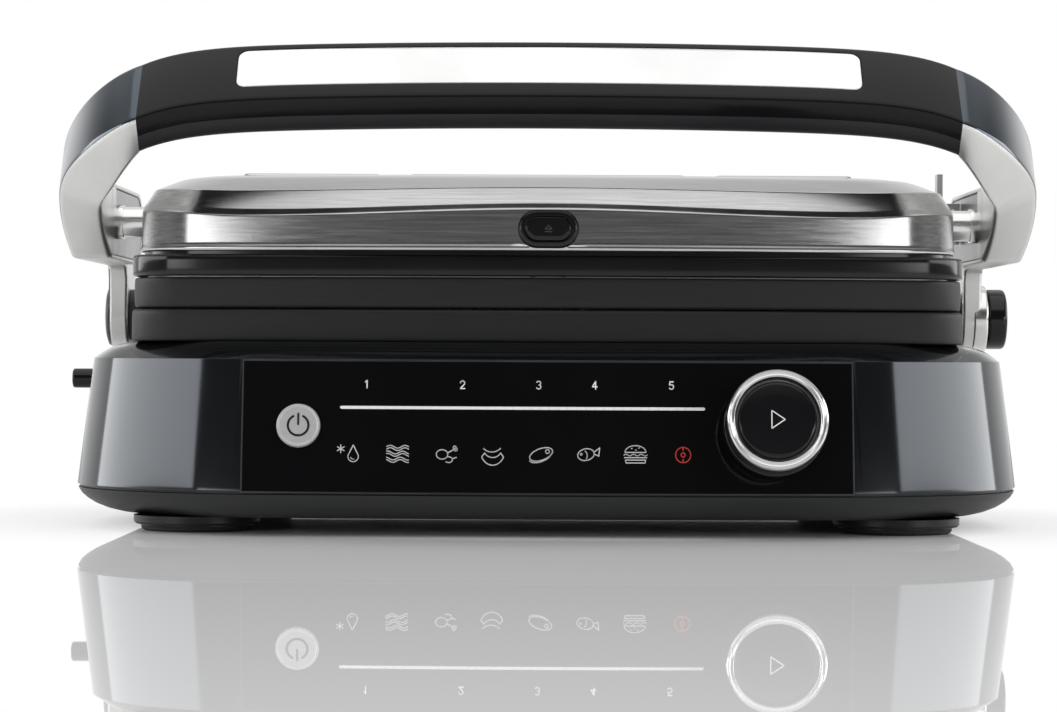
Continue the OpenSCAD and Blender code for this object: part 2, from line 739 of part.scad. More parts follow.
module hinge_bracket(s) placed() color(dark) scale([s, 1, 1]) difference() {
    union() {
        translate([bracket_x0, 0, 0]) rotate([90, 0, 90]) linear_extrude(bracket_x1 - bracket_x0)
            polygon([
            [hinge_d - bracket_w / 2, bracket_foot_z], [hinge_d + 4, bracket_foot_z + 6],
            [hinge_d + bracket_w / 2, bracket_foot_z + 14], [hinge_d + bracket_w / 2, hinge_z],
            [hinge_d - bracket_w / 2, hinge_z]
        ]);
        rod_x(bracket_x0, arm_x - arm_t - slip, hinge_d, hinge_z, eye_r - 3);
        block(bracket_x0 - 6, bracket_x1, hinge_d - 34, hinge_d - bracket_w / 2 + eps, bracket_foot_z,
            bracket_foot_z + 3);
    }
    rod_x(bracket_x0 - 1, arm_x, hinge_d, hinge_z, pin_d / 2 + fit / 2);
    translate([bracket_screw_x, bracket_screw_d, bracket_foot_z - 1]) cylinder(h = 6, r = screw_r + fit);
}
module hinge_bracket_left() hinge_bracket(-1);
module hinge_bracket_right() hinge_bracket(1);

module bracket_screws() placed() color(steel) for (s = [-1, 1])
    translate([s * bracket_screw_x, bracket_screw_d, bracket_foot_z + 3 + head_h]) mirror([0, 0, 1])
        screw(5);

pin_end_left = arm_x - 1.5;
collar_x = arm_x - 3.8;
pin_end_right = collar_x - 0.6;
module hinge_pin_left() placed() color(steel)
    rod_x(-pin_end_left, -bracket_x0, hinge_d, hinge_z, pin_d / 2);
module hinge_pin_right() placed() color(steel)
    rod_x(bracket_x0, pin_end_right, hinge_d, hinge_z, pin_d / 2);

// Arms

arm_z0 = pivot_z - arm_h / 2;
arm_z1 = pivot_z + arm_h / 2;
arm_front = pivot_d - 18;
arm_in_front = arm_x - arm_thick;
thick_end = hinge_d - eye_r - 10;
heel_r = arm_h - 1;

// Side view of the leg behind the pivot: level stretch, then down to the hinge eye
module arm_side() {
    translate([arm_front, arm_z0]) square([hinge_d - arm_front - 12, arm_h]);
    translate([hinge_d - 14, arm_z1 - heel_r]) circle(heel_r);
    translate([hinge_d - 14, hinge_z]) square([14 + eye_r, arm_z1 - heel_r - hinge_z]);
    translate([hinge_d, hinge_z]) circle(eye_r);
    translate([hinge_d - eye_r, hinge_z]) square([eye_r, arm_z0 - hinge_z + 1]);
}

// Side view of the thick stretch round the pivot
module thick_side(inset) {
    r = arm_h / 2 - inset;
    translate([arm_front + inset, arm_z0 + inset])
        square([thick_end - arm_front - arm_h / 2 - inset, arm_h - 2 * inset]);
    translate([thick_end - arm_h / 2, pivot_z]) circle(r);
}

// Corner lines of the elbow: along an arc from the bar's end p to the level stretch q. Each line w dips by
// w[0] in w[1] waves and bulges outwards by w[2]
function sweep_line(p, q, turn, w) = [
    p.x + (q.x - p.x) * sin(turn) + w[2] * sin(2 * turn),
    p.y + (q.y - p.y) * (1 - cos(turn)),
    q.z + (p.z - q.z) * cos(turn) - w[0] * max(0, sin(w[1] * turn))
];

// The bar's section at half length x: front edge first, then bottom, rear and top
function bar_sag(x) = bar_bow * pow(x / bar_x, 2) + bar_drop * pow(abs(x) / bar_x, 9.6);
function bar_corner(x, a, b) = [
    x,
    a * cos(bar_tilt) + b * sin(bar_tilt),
    bar_z - bar_sag(x) + a * sin(bar_tilt) - b * cos(bar_tilt)
];

// Rounded section through four corners: each corner gives three points of a small curve
function rounded(c, r) = [for (i = [0:3]) let (
    p = c[i], u = c[(i + 3) % 4] - p, v = c[(i + 1) % 4] - p,
    a = p + u * min(0.4, r / norm(u)), b = p + v * min(0.4, r / norm(v)), m = (a + b) / 2 * 0.4 + p * 0.6
) each [a, m, b]];

function bar_section(x, a0, a1, b0, b1, r) =
    rounded([bar_corner(x, a0, b0), bar_corner(x, a0, b1), bar_corner(x, a1, b1), bar_corner(x, a1, b0)],
        r);

elbow_steps = 14;
elbow_start = [for (c = [[0, 0], [0, bar_b], [bar_a, bar_b], [bar_a, 0]]) bar_corner(bar_x, c.x, c.y)];
elbow_end = [
    [arm_x, arm_front, arm_z0], [arm_in_front, arm_front, arm_z0],
    [arm_in_front, arm_front, arm_z1], [arm_x, arm_front, arm_z1]
];
elbow_waves = [[5.5, 3, 2], [9, 3, 0], [7, 2, 0], [7, 2, 1]];
function elbow_ring(turn) =
    rounded([for (i = [0:3]) sweep_line(elbow_start[i], elbow_end[i], turn, elbow_waves[i])], 2.4);

module arm(s) {
    scale([s, 1, 1]) difference() {
        union() {
            translate([arm_in, 0, 0]) rotate([90, 0, 90]) linear_extrude(arm_t) arm_side();
            translate([arm_in_front, 0, 0]) rotate([90, 0, 90]) linear_extrude(arm_t) thick_side(0);
            // The last ring reaches into the level stretch
            loft(concat([for (k = [0:elbow_steps]) elbow_ring(90 * k / elbow_steps)],
                [[for (p = elbow_ring(90)) p + [0, 2, 0]]]));
        }
        rod_x(arm_in - 1, arm_x + 1, hinge_d, hinge_z, pin_d / 2 + fit);
        rod_x(arm_in_front - 1, arm_x - 3, pivot_d, pivot_z, pivot_shoulder_d / 2 + fit);
        // Pocket of the inner cover
        translate([arm_in_front - 1, 0, 0]) rotate([90, 0, 90]) linear_extrude(1 + cover_t + 0.8)
            thick_side(3);
    }
}
cover_t = 2;

module arm_left() placed() color(steel) arm(-1);
module arm_right() placed() color(steel) difference() {
    arm(1);
    rod_x(collar_x, arm_x + 2, hinge_d, hinge_z, eye_r + 0.5 + slip);
}

module arm_cover(s) placed() color(dark) scale([s, 1, 1]) difference() {
    translate([arm_in_front + 0.8, 0, 0]) rotate([90, 0, 90]) linear_extrude(cover_t)
        thick_side(3 + slip);
    rod_x(arm_in_front - 2, arm_in + 2, pivot_d, pivot_z, pivot_shoulder_d / 2 + fit);
}
module arm_cover_left() arm_cover(-1);
module arm_cover_right() arm_cover(1);

module hinge_cap_left() placed() color(dark) translate([-arm_x, hinge_d, hinge_z]) rotate([0, -90, 0])
    rotate_extrude() polygon([[0, 0], [eye_r - 1, 0], [eye_r - 1.4, 0.9], [eye_r - 4, 1.8], [0, 2.4]]);

// Bright collar and pull knob that lock the arms at the right hinge
stem_r = 4.5;
hinge_knob_x = arm_x + 3.6;
pull_knob_t = 8.8;
x_mid = (hinge_knob_x + pull_knob_t - release_out) / 2;
module hinge_collar() placed() color(bright) difference() {
    translate([collar_x, hinge_d, hinge_z]) rotate([0, 90, 0]) rotate_extrude() polygon([
        [stem_r + fit, 0], [eye_r + 0.1, 0], [eye_r + 0.5, 0.6],
            [eye_r + 0.5, hinge_knob_x - collar_x - 1],
        [eye_r - 0.3, hinge_knob_x - collar_x - slip], [stem_r + fit, hinge_knob_x - collar_x - slip]
    ]);
}

module hinge_knob() placed() color(black) translate([hinge_knob_x, hinge_d, hinge_z]) rotate([0, 90, 0])
    rotate_extrude() polygon([
        [0, pin_end_right + slip - hinge_knob_x], [stem_r, pin_end_right + slip - hinge_knob_x],
            [stem_r, 0],
        [13.4, 0], [13.8, 0.4], [13.8, pull_knob_t - 1.8], [13, pull_knob_t - 0.6], [0, pull_knob_t]
    ]);

// Lid pivots: journal in the lid's bush, bright shoulder, collar against the arm
module pivot_pin(s) placed() color(bright) scale([s, 1, 1]) union() {
    rod_x(bush_x0 + 1, lid_w / 2 + 0.5, pivot_d, pivot_z, pivot_journal_d / 2);
    rod_x(lid_w / 2 + slip, arm_x - 3.5, pivot_d, pivot_z, pivot_shoulder_d / 2);
    rod_x(arm_in_front - 3, arm_in_front + 0.8, pivot_d, pivot_z, pivot_shoulder_d / 2 + 0.7);
}
module pivot_pin_left() pivot_pin(-1);
module pivot_pin_right() pivot_pin(1);

// Handle bar

bar_steps = 24;
// Stretch of the bar from -x to x, with closer sections where it bends
module bar_loft(x, a0, a1, b0, b1, r) {
    loft([for (k = [0:bar_steps]) bar_section(x * sin(180 * k / bar_steps - 90), a0, a1, b0, b1, r)]);
}

module grip_upper() placed() color(black) difference() {
    bar_loft(bar_x, 0, bar_a, 0, bar_b / 2, 1.6);
    bar_loft(inlay_x + slip, inlay_edge - slip, inlay_edge + inlay_a + slip, -1, 1.4, 1);
}

module grip_lower() placed() color(black) difference() {
    bar_loft(bar_x, 0.1, bar_a - 0.1, bar_b / 2 + 0.02, bar_b, 2.4);
    for (x = grip_screw_spots) under_grip(x, -1.4, 1, grip_head_r + slip);
}

// Round shape under the bar, from one height to another measured outwards from its underside
module under_grip(x, h0, h1, r) {
    translate(bar_corner(x, bar_a / 2, bar_b)) rotate([180 + bar_tilt, 0, 0]) translate([0, 0, h0])
        cylinder(h = h1 - h0, r = r);
}
grip_screw_spots = [-110, -40, 40, 110];
grip_head_r = 2.4;

module grip_inlay() placed() color(bright)
    bar_loft(inlay_x, inlay_edge, inlay_edge + inlay_a, 0, 1.38, 1);

module grip_screws() placed() color(steel)
    for (x = grip_screw_spots) under_grip(x, -1.4, -0.4, grip_head_r);

// Lock lever: a thin steel tab on the right arm
lever_d = 205;
lever_x1 = arm_in_front - slip;
lever_t = 2.4;
lever_top = pivot_z + 25;
module lock_lever() placed() color(steel) difference() {
    union() {
        rod_x(lever_x1 - lever_t, lever_x1, lever_d, pivot_z, 6);
        block(lever_x1 - lever_t, lever_x1, lever_d - 4, lever_d + 4, pivot_z, pivot_z + 12);
        block(lever_x1 - lever_bend, lever_x1, lever_d - 4, lever_d + 4, pivot_z + 12 - lever_t,
            pivot_z + 12);
        block(lever_x1 - lever_bend, lever_x1 - lever_bend + lever_t, lever_d - 4, lever_d + 4,
            pivot_z + 10, lever_top);
    }
    rod_x(lever_x1 - 3, lever_x1 + 1, lever_d, pivot_z, 2 + fit);
}

module lock_pin() placed() color(steel) union() {
    rod_x(lever_x1 - 3.6, arm_in_front + 0.8, lever_d, pivot_z, 2);
    rod_x(lever_x1 - 3.9, lever_x1 - 2.6, lever_d, pivot_z, 3.2);
}

// Lid

bush_x0 = min(lid_w / 2 - 14, upper_plate_w / 2 - rim_t - 10.7);
bush_r = 6.2;
lid_corner_r = 34;

// The creases over the front dip towards the corners and rise again at the sides
function crease_dip(x, y) = max(0, 1 - (y - lid_front) / 90)
    * pow(x < crease_x ? sin(90 * x / crease_x) : cos(90 * (x - crease_x) / (lid_w / 2 - crease_x)), 2);
crease_x = 0.74 * lid_w / 2;
function lid_outline(side, front, grow) =
    bowed_outline(lid_w / 2 - side - grow, lid_front + front + grow, lid_rear - side * 0.7 - grow,
        lid_corner_r - grow, 16 - grow, lid_bow_r);
function lid_ring(z, side, front, grow, dip = 0) =
    [for (p = lid_outline(side, front, grow)) [p.x, p.y, z - dip * crease_dip(abs(p.x), p.y)]];
function lid_rings(grow) = [
    lid_ring(lid_z - (grow > 0 ? 1 : 0), 0, 0, grow),
    lid_ring(lid_z + 0.5 * lid_h - grow, 0.4, 1.6, grow, 2.8),
    lid_ring(lid_z + 0.57 * lid_h - grow, 1.4, 3.4, grow, 2.8),
    lid_ring(lid_z + 0.77 * lid_h - grow, 6, 9, grow, 1.4),
    lid_ring(lid_z + 0.95 * lid_h - grow, 13, 38, grow),
    lid_ring(lid_z + lid_h - grow, 18, 56, grow)
];

module lid_cover() placed() color(steel) difference() {
    union() {
        loft(lid_rings(0));
        relief_bars();
    }
    loft(lid_rings(lid_t));
    for (s = [-1, 1]) scale([s, 1, 1]) rod_x(lid_w / 2 - 5, lid_w / 2 + 5, pivot_d, pivot_z,
        pivot_shoulder_d / 2 + 0.8);
    bezel_cut(slip);
}

module relief_bars() {
    y0 = lid_front + 70;
    y1 = lid_rear - 34;
    module bar(x, w) {
        translate([x - w / 2, y0, lid_top - 0.5]) linear_extrude(relief_h + 0.5) union() {
            translate([3, 0]) square([w - 6, y1 - y0]);
            translate([0, 3]) square([w, y1 - y0 - 6]);
            for (px = [3, w - 3]) for (py = [3, y1 - y0 - 3]) translate([px, py]) circle(3);
        }
    }
    bar(0, relief_mid_w);
    for (s = [-1, 1]) bar(s * (relief_mid_w / 2 + relief_gap + relief_side_w / 2), relief_side_w);
}

// Black frame between the plate and the cover, seated on the tray's flange
function skirt_ring(z, inset) =
    ring_at(bowed_outline(plate_w / 2 + 0.1 - inset, plate_front - 1.5 + inset, plate_rear + 2 - inset,
        plate_corner_r + 4 - inset, 12 - inset, plate_bow_r), z);
module lid_skirt() placed() color(black) difference() {
    union() {
        loft([skirt_ring(skirt_z, 0.8), skirt_ring(skirt_z + 1.2, 0), skirt_ring(skirt_top - 1, 0.3),
            skirt_ring(skirt_top, 1.2)]);
        loft([lid_ring(skirt_top - 1, 0, 0, lid_t + slip), lid_ring(lid_z + 5, 0, 0.6, lid_t + slip)]);
    }
    plate_slab(upper_plate_w, rim_t + slip / 2, skirt_z - 1, upper_top_z + 1);
    plate_slab(upper_plate_w, rim_t + 4, skirt_z - 1, lid_z + 8);
    bezel_cut(slip);
    // Way for the latch
    block(-latch_half - slip, latch_half + slip, lid_latch_d + 0.4, lid_latch_d + 12, skirt_z - 1,
        lid_z + 8);
}

module pivot_bushes() placed() color(dark) for (s = [-1, 1]) scale([s, 1, 1]) difference() {
    union() {
        rod_x(bush_x0, lid_w / 2 - lid_t - 5.2, pivot_d, pivot_z, bush_r);
        block(bush_x0, upper_plate_w / 2 - rim_t - 4 - slip, pivot_d - 7, pivot_d + 7, upper_top_z + 1,
            pivot_z);
    }
    rod_x(bush_x0 - 1, lid_w / 2 + 1, pivot_d, pivot_z, pivot_journal_d / 2 + fit);
}

// Oval bezel and button that let go of the upper plate
bezel_w = 23.2;
bezel_h = 14.6;
bezel_z = lid_z + bezel_h / 2 + 1.2;
release_w = 17.6;
release_h = 9.2;
lid_release_travel = 2.5;

// Rounded oval across X and Z, from the depth y0 to y1
module oval(w, h, y0, y1) {
    for (x = [-(w - h) / 2, (w - h) / 2]) translate([x, y1, bezel_z]) rotate([90, 0, 0])
        cylinder(h = y1 - y0, r = h / 2);
    block(-(w - h) / 2, (w - h) / 2, y0, y1, bezel_z - h / 2, bezel_z + h / 2);
}

module bezel_cut(grow) {
    oval(bezel_w + 2 * grow, bezel_h + 2 * grow, lid_front - 5, lid_front + 16);
}

module release_bezel() placed() color(black) difference() {
    oval(bezel_w, bezel_h, lid_front - 0.8, lid_front + 8);
    oval(release_w + 2 * slip, release_h + 2 * slip, lid_front - 2, lid_front + 20);
}

lid_latch_d = plate_front + rim_t;
module lid_release_button() placed() color(black)
    oval(release_w, release_h, lid_front - 1.8, lid_latch_d + 0.8);

module upper_latch() placed() color(steel) union() {
    block(-latch_half, latch_half, lid_latch_d + 0.8, lid_latch_d + 0.8 + latch_t, upper_top_z - 3,
        bezel_z + 3);
    block(-latch_half, latch_half, lid_latch_d - latch_lip, lid_latch_d + 0.8 + eps, upper_top_z - 3,
        upper_top_z - 1.8);
}

lid_screw_in = 20;
lid_screw_spots = [for (x = [lid_screw_in - pan_x, pan_x - lid_screw_in])
    for (y = [pan_y0 + lid_screw_in, pan_y1 - lid_screw_in]) [x, y]];
module lid_screws() placed() color(steel) for (p = lid_screw_spots)
    translate([p.x, p.y, upper_top_z + upper_pan_rise + 1]) cylinder(h = head_h, r = head_r);

base_housing();
base_bottom();
control_panel();
panel_trim();
control_board();
encoder_body();
power_board();
terminal_block();
lower_pan();
lower_plate();
lower_heater();
lower_sensor();
feet();
foot_pads();
hinge_bracket_left();
hinge_bracket_right();
hinge_pin_left();
hinge_pin_right();
cord_gland();
base_screws();
bracket_screws();
tray_runners();
drip_tray();
power_button();
knob_body();
knob_ring();
start_button();
lower_release_button();
lower_latch();
arm_left();
arm_right();
arm_cover_left();
arm_cover_right();
grip_upper();
grip_lower();
grip_inlay();
pivot_pin_left();
pivot_pin_right();
hinge_cap_left();
hinge_collar();
grip_screws();
hinge_knob();
lock_lever();
lock_pin();
lid_cover();
lid_skirt();
lid_pan();
upper_plate();
upper_heater();
upper_sensor();
pivot_bushes();
release_bezel();
lid_screws();
lid_release_button();
upper_latch();
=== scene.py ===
# %% [markdown]
# # A countertop contact grill
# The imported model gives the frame: every solid, in metres, at its real place. This script dresses it.
# It first loads that frame, because each new piece is placed by its sizes and rides on its bodies.

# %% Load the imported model
import math
import bmesh
import bpy
from mathutils import Matrix, Vector


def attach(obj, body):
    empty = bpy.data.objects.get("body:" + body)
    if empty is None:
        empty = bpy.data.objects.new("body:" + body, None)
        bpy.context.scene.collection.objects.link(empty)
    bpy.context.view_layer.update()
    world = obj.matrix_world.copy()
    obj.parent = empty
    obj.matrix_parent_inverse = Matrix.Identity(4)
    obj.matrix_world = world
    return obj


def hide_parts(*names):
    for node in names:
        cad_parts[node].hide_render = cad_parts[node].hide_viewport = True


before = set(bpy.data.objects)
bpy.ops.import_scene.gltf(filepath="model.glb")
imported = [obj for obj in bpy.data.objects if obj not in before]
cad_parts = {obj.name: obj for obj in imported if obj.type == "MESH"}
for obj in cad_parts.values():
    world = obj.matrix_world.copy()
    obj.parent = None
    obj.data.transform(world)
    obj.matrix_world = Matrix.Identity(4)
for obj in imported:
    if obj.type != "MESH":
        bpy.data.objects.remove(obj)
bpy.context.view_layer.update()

scene = bpy.context.scene

# %% [markdown]
# The sizes below are the model's own, in millimetres. Widths x and depths d are counted from the middle
# of the control panel, and X_MID and Y_MID move them so that the grill stands centred over the origin.

# %% Sizes of the grill
MM = 0.001
BASE_W, FLOOR_Z, SEAM_Z, EDGE_Z, SHOULDER_H = 382.8, 6, 16.7, 67.9, 6.8
SIDE_DRAFT, FRONT_LEAN, FRONT_BOW_R, FRONT_CORNER_R = 6.2, 9, 1100, 92
DECK_Z = EDGE_Z + SHOULDER_H
MID_Z = (SEAM_Z + EDGE_Z) / 2
LEAN = math.atan(FRONT_LEAN / (EDGE_Z - SEAM_Z))
KNOB_X, KNOB_D, KNOB_FACE_D, KNOB_OUT = 86.5, 38.6, 31.4, 23
POWER_X, POWER_D = -95.5, 16.9
PLATE_W, PLATE_FRONT, PLATE_REAR, PARTING_Z = 331.4, 22, 248, DECK_Z + 12.8
HINGE_D, HINGE_Z, EYE_R, PIVOT_D, PIVOT_Z = 268, PARTING_Z, 15, 150, PARTING_Z + 38.4
ARM_X, ARM_T, ARM_THICK, ARM_H = BASE_W / 2 + 9.2, 9, 17, 32
ARM_FRONT, ARM_Z0, ARM_Z1 = PIVOT_D - 18, PIVOT_Z - ARM_H / 2, PIVOT_Z + ARM_H / 2
BASE_REAR, NOTCH_D, NOTCH_X = 285, 262, 170.4
SKIRT_Z, SKIRT_TOP = PARTING_Z + 13.3, PARTING_Z + 21.5
LID_W, LID_Z, LID_H, LID_FRONT, LID_REAR = 326, SKIRT_TOP + 1.3, 32.4, 18, 252
BAR_X, BAR_Z, BAR_A, BAR_B, BAR_TILT = 158, 168.6, 33, 18, math.radians(46)
BAR_BOW, BAR_DROP, INLAY_X, INLAY_A, INLAY_EDGE = 3.1, 6.4, 120.4, 21, 8
PANEL_HALF, PANEL_LOW, PANEL_HIGH, SHAFT_R, AXIS_R = 117, SEAM_Z + 0.6, EDGE_Z - 0.8, 8.6, 0.02
TRAY_HALF, TRAY_TOP, GLAND_X, GLAND_Z, GLAND_R = 90.3, 30.2, 125, 44, 6.4
LID_CORNER_R, LID_REAR_R, LID_BOW_R, PIN_HOLE_R = 34, 16, 650, 7.4
RELEASE_D, RELEASE_Z, RIB_PITCH, RIB_HALF, RIB_DEEP, PLATE_BOW_R = 169, 59, 9, 1.7, 4.1, 800


def bow_at(x):
    return FRONT_BOW_R - math.sqrt(FRONT_BOW_R * FRONT_BOW_R - x * x)


def lean_at(z):
    return FRONT_LEAN * (z - MID_Z) / (EDGE_Z - SEAM_Z)


FRONT_REACH = KNOB_OUT * math.cos(LEAN) + KNOB_D / 2 * math.sin(LEAN) - bow_at(KNOB_X)
Y_MID = (BASE_REAR - FRONT_REACH) / 2
RELEASE_OUT, PULL_KNOB_X = 204.8, ARM_X + 3.6
X_MID = (PULL_KNOB_X + 8.8 - RELEASE_OUT) / 2


def at(x, d, z):
    return Vector(((x - X_MID) * MM, (d - Y_MID) * MM, z * MM))


print("panel leans", round(math.degrees(LEAN), 2), "degrees; centre depth", round(Y_MID, 2), "mm")

# %% [markdown]
# ## The camera
# The photograph was taken level and almost square on, from about 1.25 m, so a long lens at the height
# of the panel's top edge gives the same overlaps of handle, lid and base. In the photo the handle is
# level and the body falls a little to the right; the camera's roll halves that difference.

# %% Camera
CAMERA_SPOT, CAMERA_ROLL, SENSOR, LENS = (-7.5, -1250, 69.5), -0.28, 36, 111.5
cam_data = bpy.data.cameras.new("photo_camera")
cam_data.sensor_width, cam_data.lens = SENSOR, LENS
camera = bpy.data.objects.new("photo_camera", cam_data)
camera.location = at(*CAMERA_SPOT)
roll = Matrix.Rotation(math.radians(CAMERA_ROLL), 4, "Y")
camera.rotation_euler = (roll @ Matrix.Rotation(math.radians(90), 4, "X")).to_euler()
scene.collection.objects.link(camera)
scene.camera = camera
print("camera at", [round(v, 3) for v in camera.location])

# %% [markdown]
# ## Shader maths
# A finish is a few formulas over the surface. Wire wraps a socket, so that a formula such as
# 0.2 + 0.1 * grain is written as it reads and adds its own Math nodes. Finish holds one material and
# has a single way to add any other node: its type, its settings, then its sockets.

# %% Sockets as numbers
class Wire:
    def __init__(self, finish, socket):
        self.finish, self.socket = finish, socket

    def math(self, operation, a, b):
        return self.finish.math(operation, a, b)

    def __add__(self, other):
        return self.math("ADD", self, other)

    def __sub__(self, other):
        return self.math("SUBTRACT", self, other)

    def __rsub__(self, other):
        return self.math("SUBTRACT", other, self)

    def __mul__(self, other):
        return self.math("MULTIPLY", self, other)

    __radd__, __rmul__ = __add__, __mul__


# %% A node tree, and one material with its nodes
class Graph:
    def __init__(self, tree):
        self.tree = tree

    def feed(self, node, values):
        for key, value in values.items():
            socket = node.inputs[key.replace("_", " ") if isinstance(key, str) else key]
            if isinstance(value, Wire):
                self.tree.links.new(value.socket, socket)
            else:
                socket.default_value = (*value, 1) if socket.type == "RGBA" and len(value) == 3 else value

    def math(self, operation, a, b):
        return self.add("ShaderNodeMath", {"operation": operation}, {0: a, 1: b})

    def ramp(self, value, low, high, start, end):
        """A smooth step from start to end while the value goes from low to high."""
        values = {"Value": value, "From Min": low, "From Max": high, "To Min": start, "To Max": end}
        return self.add("ShaderNodeMapRange", {"interpolation_type": "SMOOTHSTEP"}, values)

    def add(self, kind, settings=None, values=None, out=0):
        node = self.tree.nodes.new(kind)
        for key, value in (settings or {}).items():
            setattr(node, key, value)
        self.feed(node, values or {})
        return Wire(self, node.outputs[out])

    def place(self, x=1.0, y=1.0, z=1.0):
        """Where a point lies on the grill, stretched by a factor along each axis."""
        spot = self.add("ShaderNodeTexCoord", out="Object")
        return self.add("ShaderNodeVectorMath", {"operation": "MULTIPLY"}, {0: spot, 1: (x, y, z)})

    def grain(self, vector, scale, detail=3.0, rough=0.5):
        values = {"Vector": vector, "Scale": scale, "Detail": detail, "Roughness": rough}
        return self.add("ShaderNodeTexNoise", None, values)

    def tint(self, mask, dark, light):
        """A colour between two others, by a mask from 0 to 1."""
        return self.add("ShaderNodeMix", {"data_type": "RGBA"}, {0: mask, 6: dark, 7: light}, out=2)

    def bump(self, height, strength, distance=0.0002):
        return self.add("ShaderNodeBump", None, {"Height": height, "Strength": strength, "Distance": distance})


class Finish(Graph):
    def __init__(self, name, **constants):
        self.material = bpy.data.materials.new(name)
        self.material.use_nodes = True
        super().__init__(self.material.node_tree)
        self.shader = next(n for n in self.tree.nodes if n.type == "BSDF_PRINCIPLED")
        self.feed(self.shader, constants)

    def use(self, **wires):
        self.feed(self.shader, wires)
        return self.material


print("finish helpers ready")

# %% [markdown]
# ## Black plastics
# The shell, the panel and the knob are glossy moulded plastic: nearly black, with a faint orange-peel
# wave that bends the reflections, and a very light haze of handling that changes the roughness.
# The tray, the feet and the grip's underside are a satin black with a fine spark-eroded texture.

# %% Black plastics
def gloss_plastic(name, colour, haze, wave=0.06, ior=1.4, **constants):
    f = Finish(name, IOR=ior, **constants)
    broad = f.grain(f.place(), 26, 4)
    fine = f.grain(f.place(), 900, 2)
    return f.use(
        Base_Color=f.tint(broad, [c * 0.8 for c in colour], [c * 1.25 for c in colour]),
        Roughness=haze + 0.06 * broad + 0.02 * fine,
        Normal=f.bump(broad * 0.7 + fine * 0.05, wave, 0.0004),
    )


def satin_plastic(name, colour, rough, scale=1400, strength=0.35):
    f = Finish(name, IOR=1.4)
    cells = f.grain(f.place(), scale, 2, 0.6)
    broad = f.grain(f.place(), 30, 3)
    return f.use(
        Base_Color=f.tint(broad, [c * 0.85 for c in colour], [c * 1.2 for c in colour]),
        Roughness=rough + 0.12 * cells - 0.06 * broad,
        Normal=f.bump(cells, strength, 0.00012),
    )


shell_black = gloss_plastic(
    "shell_black", (0.004, 0.0045, 0.0055), 0.05, ior=1.6, Specular_Tint=(0.86, 0.93, 1.0))
skirt_black = gloss_plastic("skirt_black", (0.006, 0.006, 0.007), 0.10)
panel_black = gloss_plastic("panel_black", (0.003, 0.003, 0.0035), 0.03, 0.02, ior=1.3)
knob_black = gloss_plastic("knob_black", (0.006, 0.006, 0.007), 0.06, 0.03)
grip_black = gloss_plastic("grip_black", (0.006, 0.006, 0.007), 0.12, 0.04, ior=1.28)
grip_under = satin_plastic("grip_under", (0.011, 0.0115, 0.0125), 0.3, 1400, 0.1)
tray_black = satin_plastic("tray_black", (0.012, 0.013, 0.013), 0.34)
cap_dark = satin_plastic("cap_dark", (0.07, 0.07, 0.072), 0.34)
pad_rubber = satin_plastic("pad_rubber", (0.018, 0.018, 0.018), 0.7, 700, 0.6)
terminal_cream = satin_plastic("terminal_cream", (0.62, 0.6, 0.5), 0.5)
board_green = satin_plastic("board_green", (0.02, 0.12, 0.05), 0.35, 500)
print("black plastics:", shell_black.name, tray_black.name)

# %% [markdown]
# ## Metals
# Brushed steel is a mirror with thousands of fine parallel scratches. Noise that is stretched along the
# brushing direction gives the streaks, and the same streaks change colour, roughness and bump together.

# %% Metals
def brushed(name, colour, rough, along, streak=0.35, depth=0.25, metallic=1.0, contrast=0.22):
    """Along holds the noise's scales on the three axes: the brushing runs along the smallest."""
    f = Finish(name, Metallic=metallic)
    lines = f.grain(f.place(*along), 1, 5, 0.65)
    broad = f.grain(f.place(), 18, 3)
    return f.use(
        Base_Color=f.tint(
            lines * streak + broad * (1 - streak),
            [c * (1 - contrast) for c in colour], [min(1, c * (1 + 0.65 * contrast)) for c in colour]),
        Roughness=rough - 0.08 + 0.16 * lines,
        Normal=f.bump(lines, depth, 0.00006),
    )


def polished(name, colour, rough):
    f = Finish(name, Metallic=1.0)
    broad = f.grain(f.place(), 40, 4)
    return f.use(
        Base_Color=f.tint(broad, [c * 0.9 for c in colour], colour),
        Roughness=rough + 0.05 * broad,
        Normal=f.bump(broad, 0.03, 0.0003),
    )


lid_steel = brushed("lid_steel", (0.58, 0.58, 0.578), 0.19, (22, 300, 1200), 0.75, 0.06, contrast=0.55)
arm_satin = brushed("arm_satin", (0.72, 0.72, 0.70), 0.36, (1500, 60, 60), 0.25, 0.15)
arm_polish = polished("arm_polish", (0.088, 0.102, 0.117), 0.12)
inlay_metal = brushed(
    "inlay_metal", (0.86, 0.86, 0.855), 0.42, (20, 2000, 2000), 0.2, 0.08, metallic=0.8)
ring_metal = brushed("ring_metal", (0.68, 0.68, 0.68), 0.2, (900, 900, 900), 0.2, 0.05)
button_metal = brushed(
    "button_metal", (0.54, 0.54, 0.545), 0.34, (60, 1800, 1800), 0.3, 0.1, metallic=0.35)
bright_pin = polished("bright_pin", (0.80, 0.80, 0.78), 0.14)
inner_steel = brushed("inner_steel", (0.55, 0.55, 0.54), 0.35, (300, 300, 1500))
heater_steel = brushed("heater_steel", (0.30, 0.28, 0.26), 0.45, (400, 400, 400), 0.5)
bracket_paint = satin_plastic("bracket_paint", (0.03, 0.03, 0.032), 0.32, 900, 0.25)
trim_metal = brushed("trim_metal", (0.16, 0.16, 0.16), 0.3, (40, 900, 900))
cover_steel = brushed("cover_steel", (0.26, 0.265, 0.27), 0.3, (300, 60, 60), 0.3, 0.15)
print("metals:", lid_steel.name, arm_satin.name, bright_pin.name)

# %% [markdown]
# ## Coated plates and printed marks
# The cast plates carry a dark non-stick coat with a faint horizontal drag from spraying and fine
# speckles. The printed marks on the panel are flat ink: a colour with a little uneven gloss.

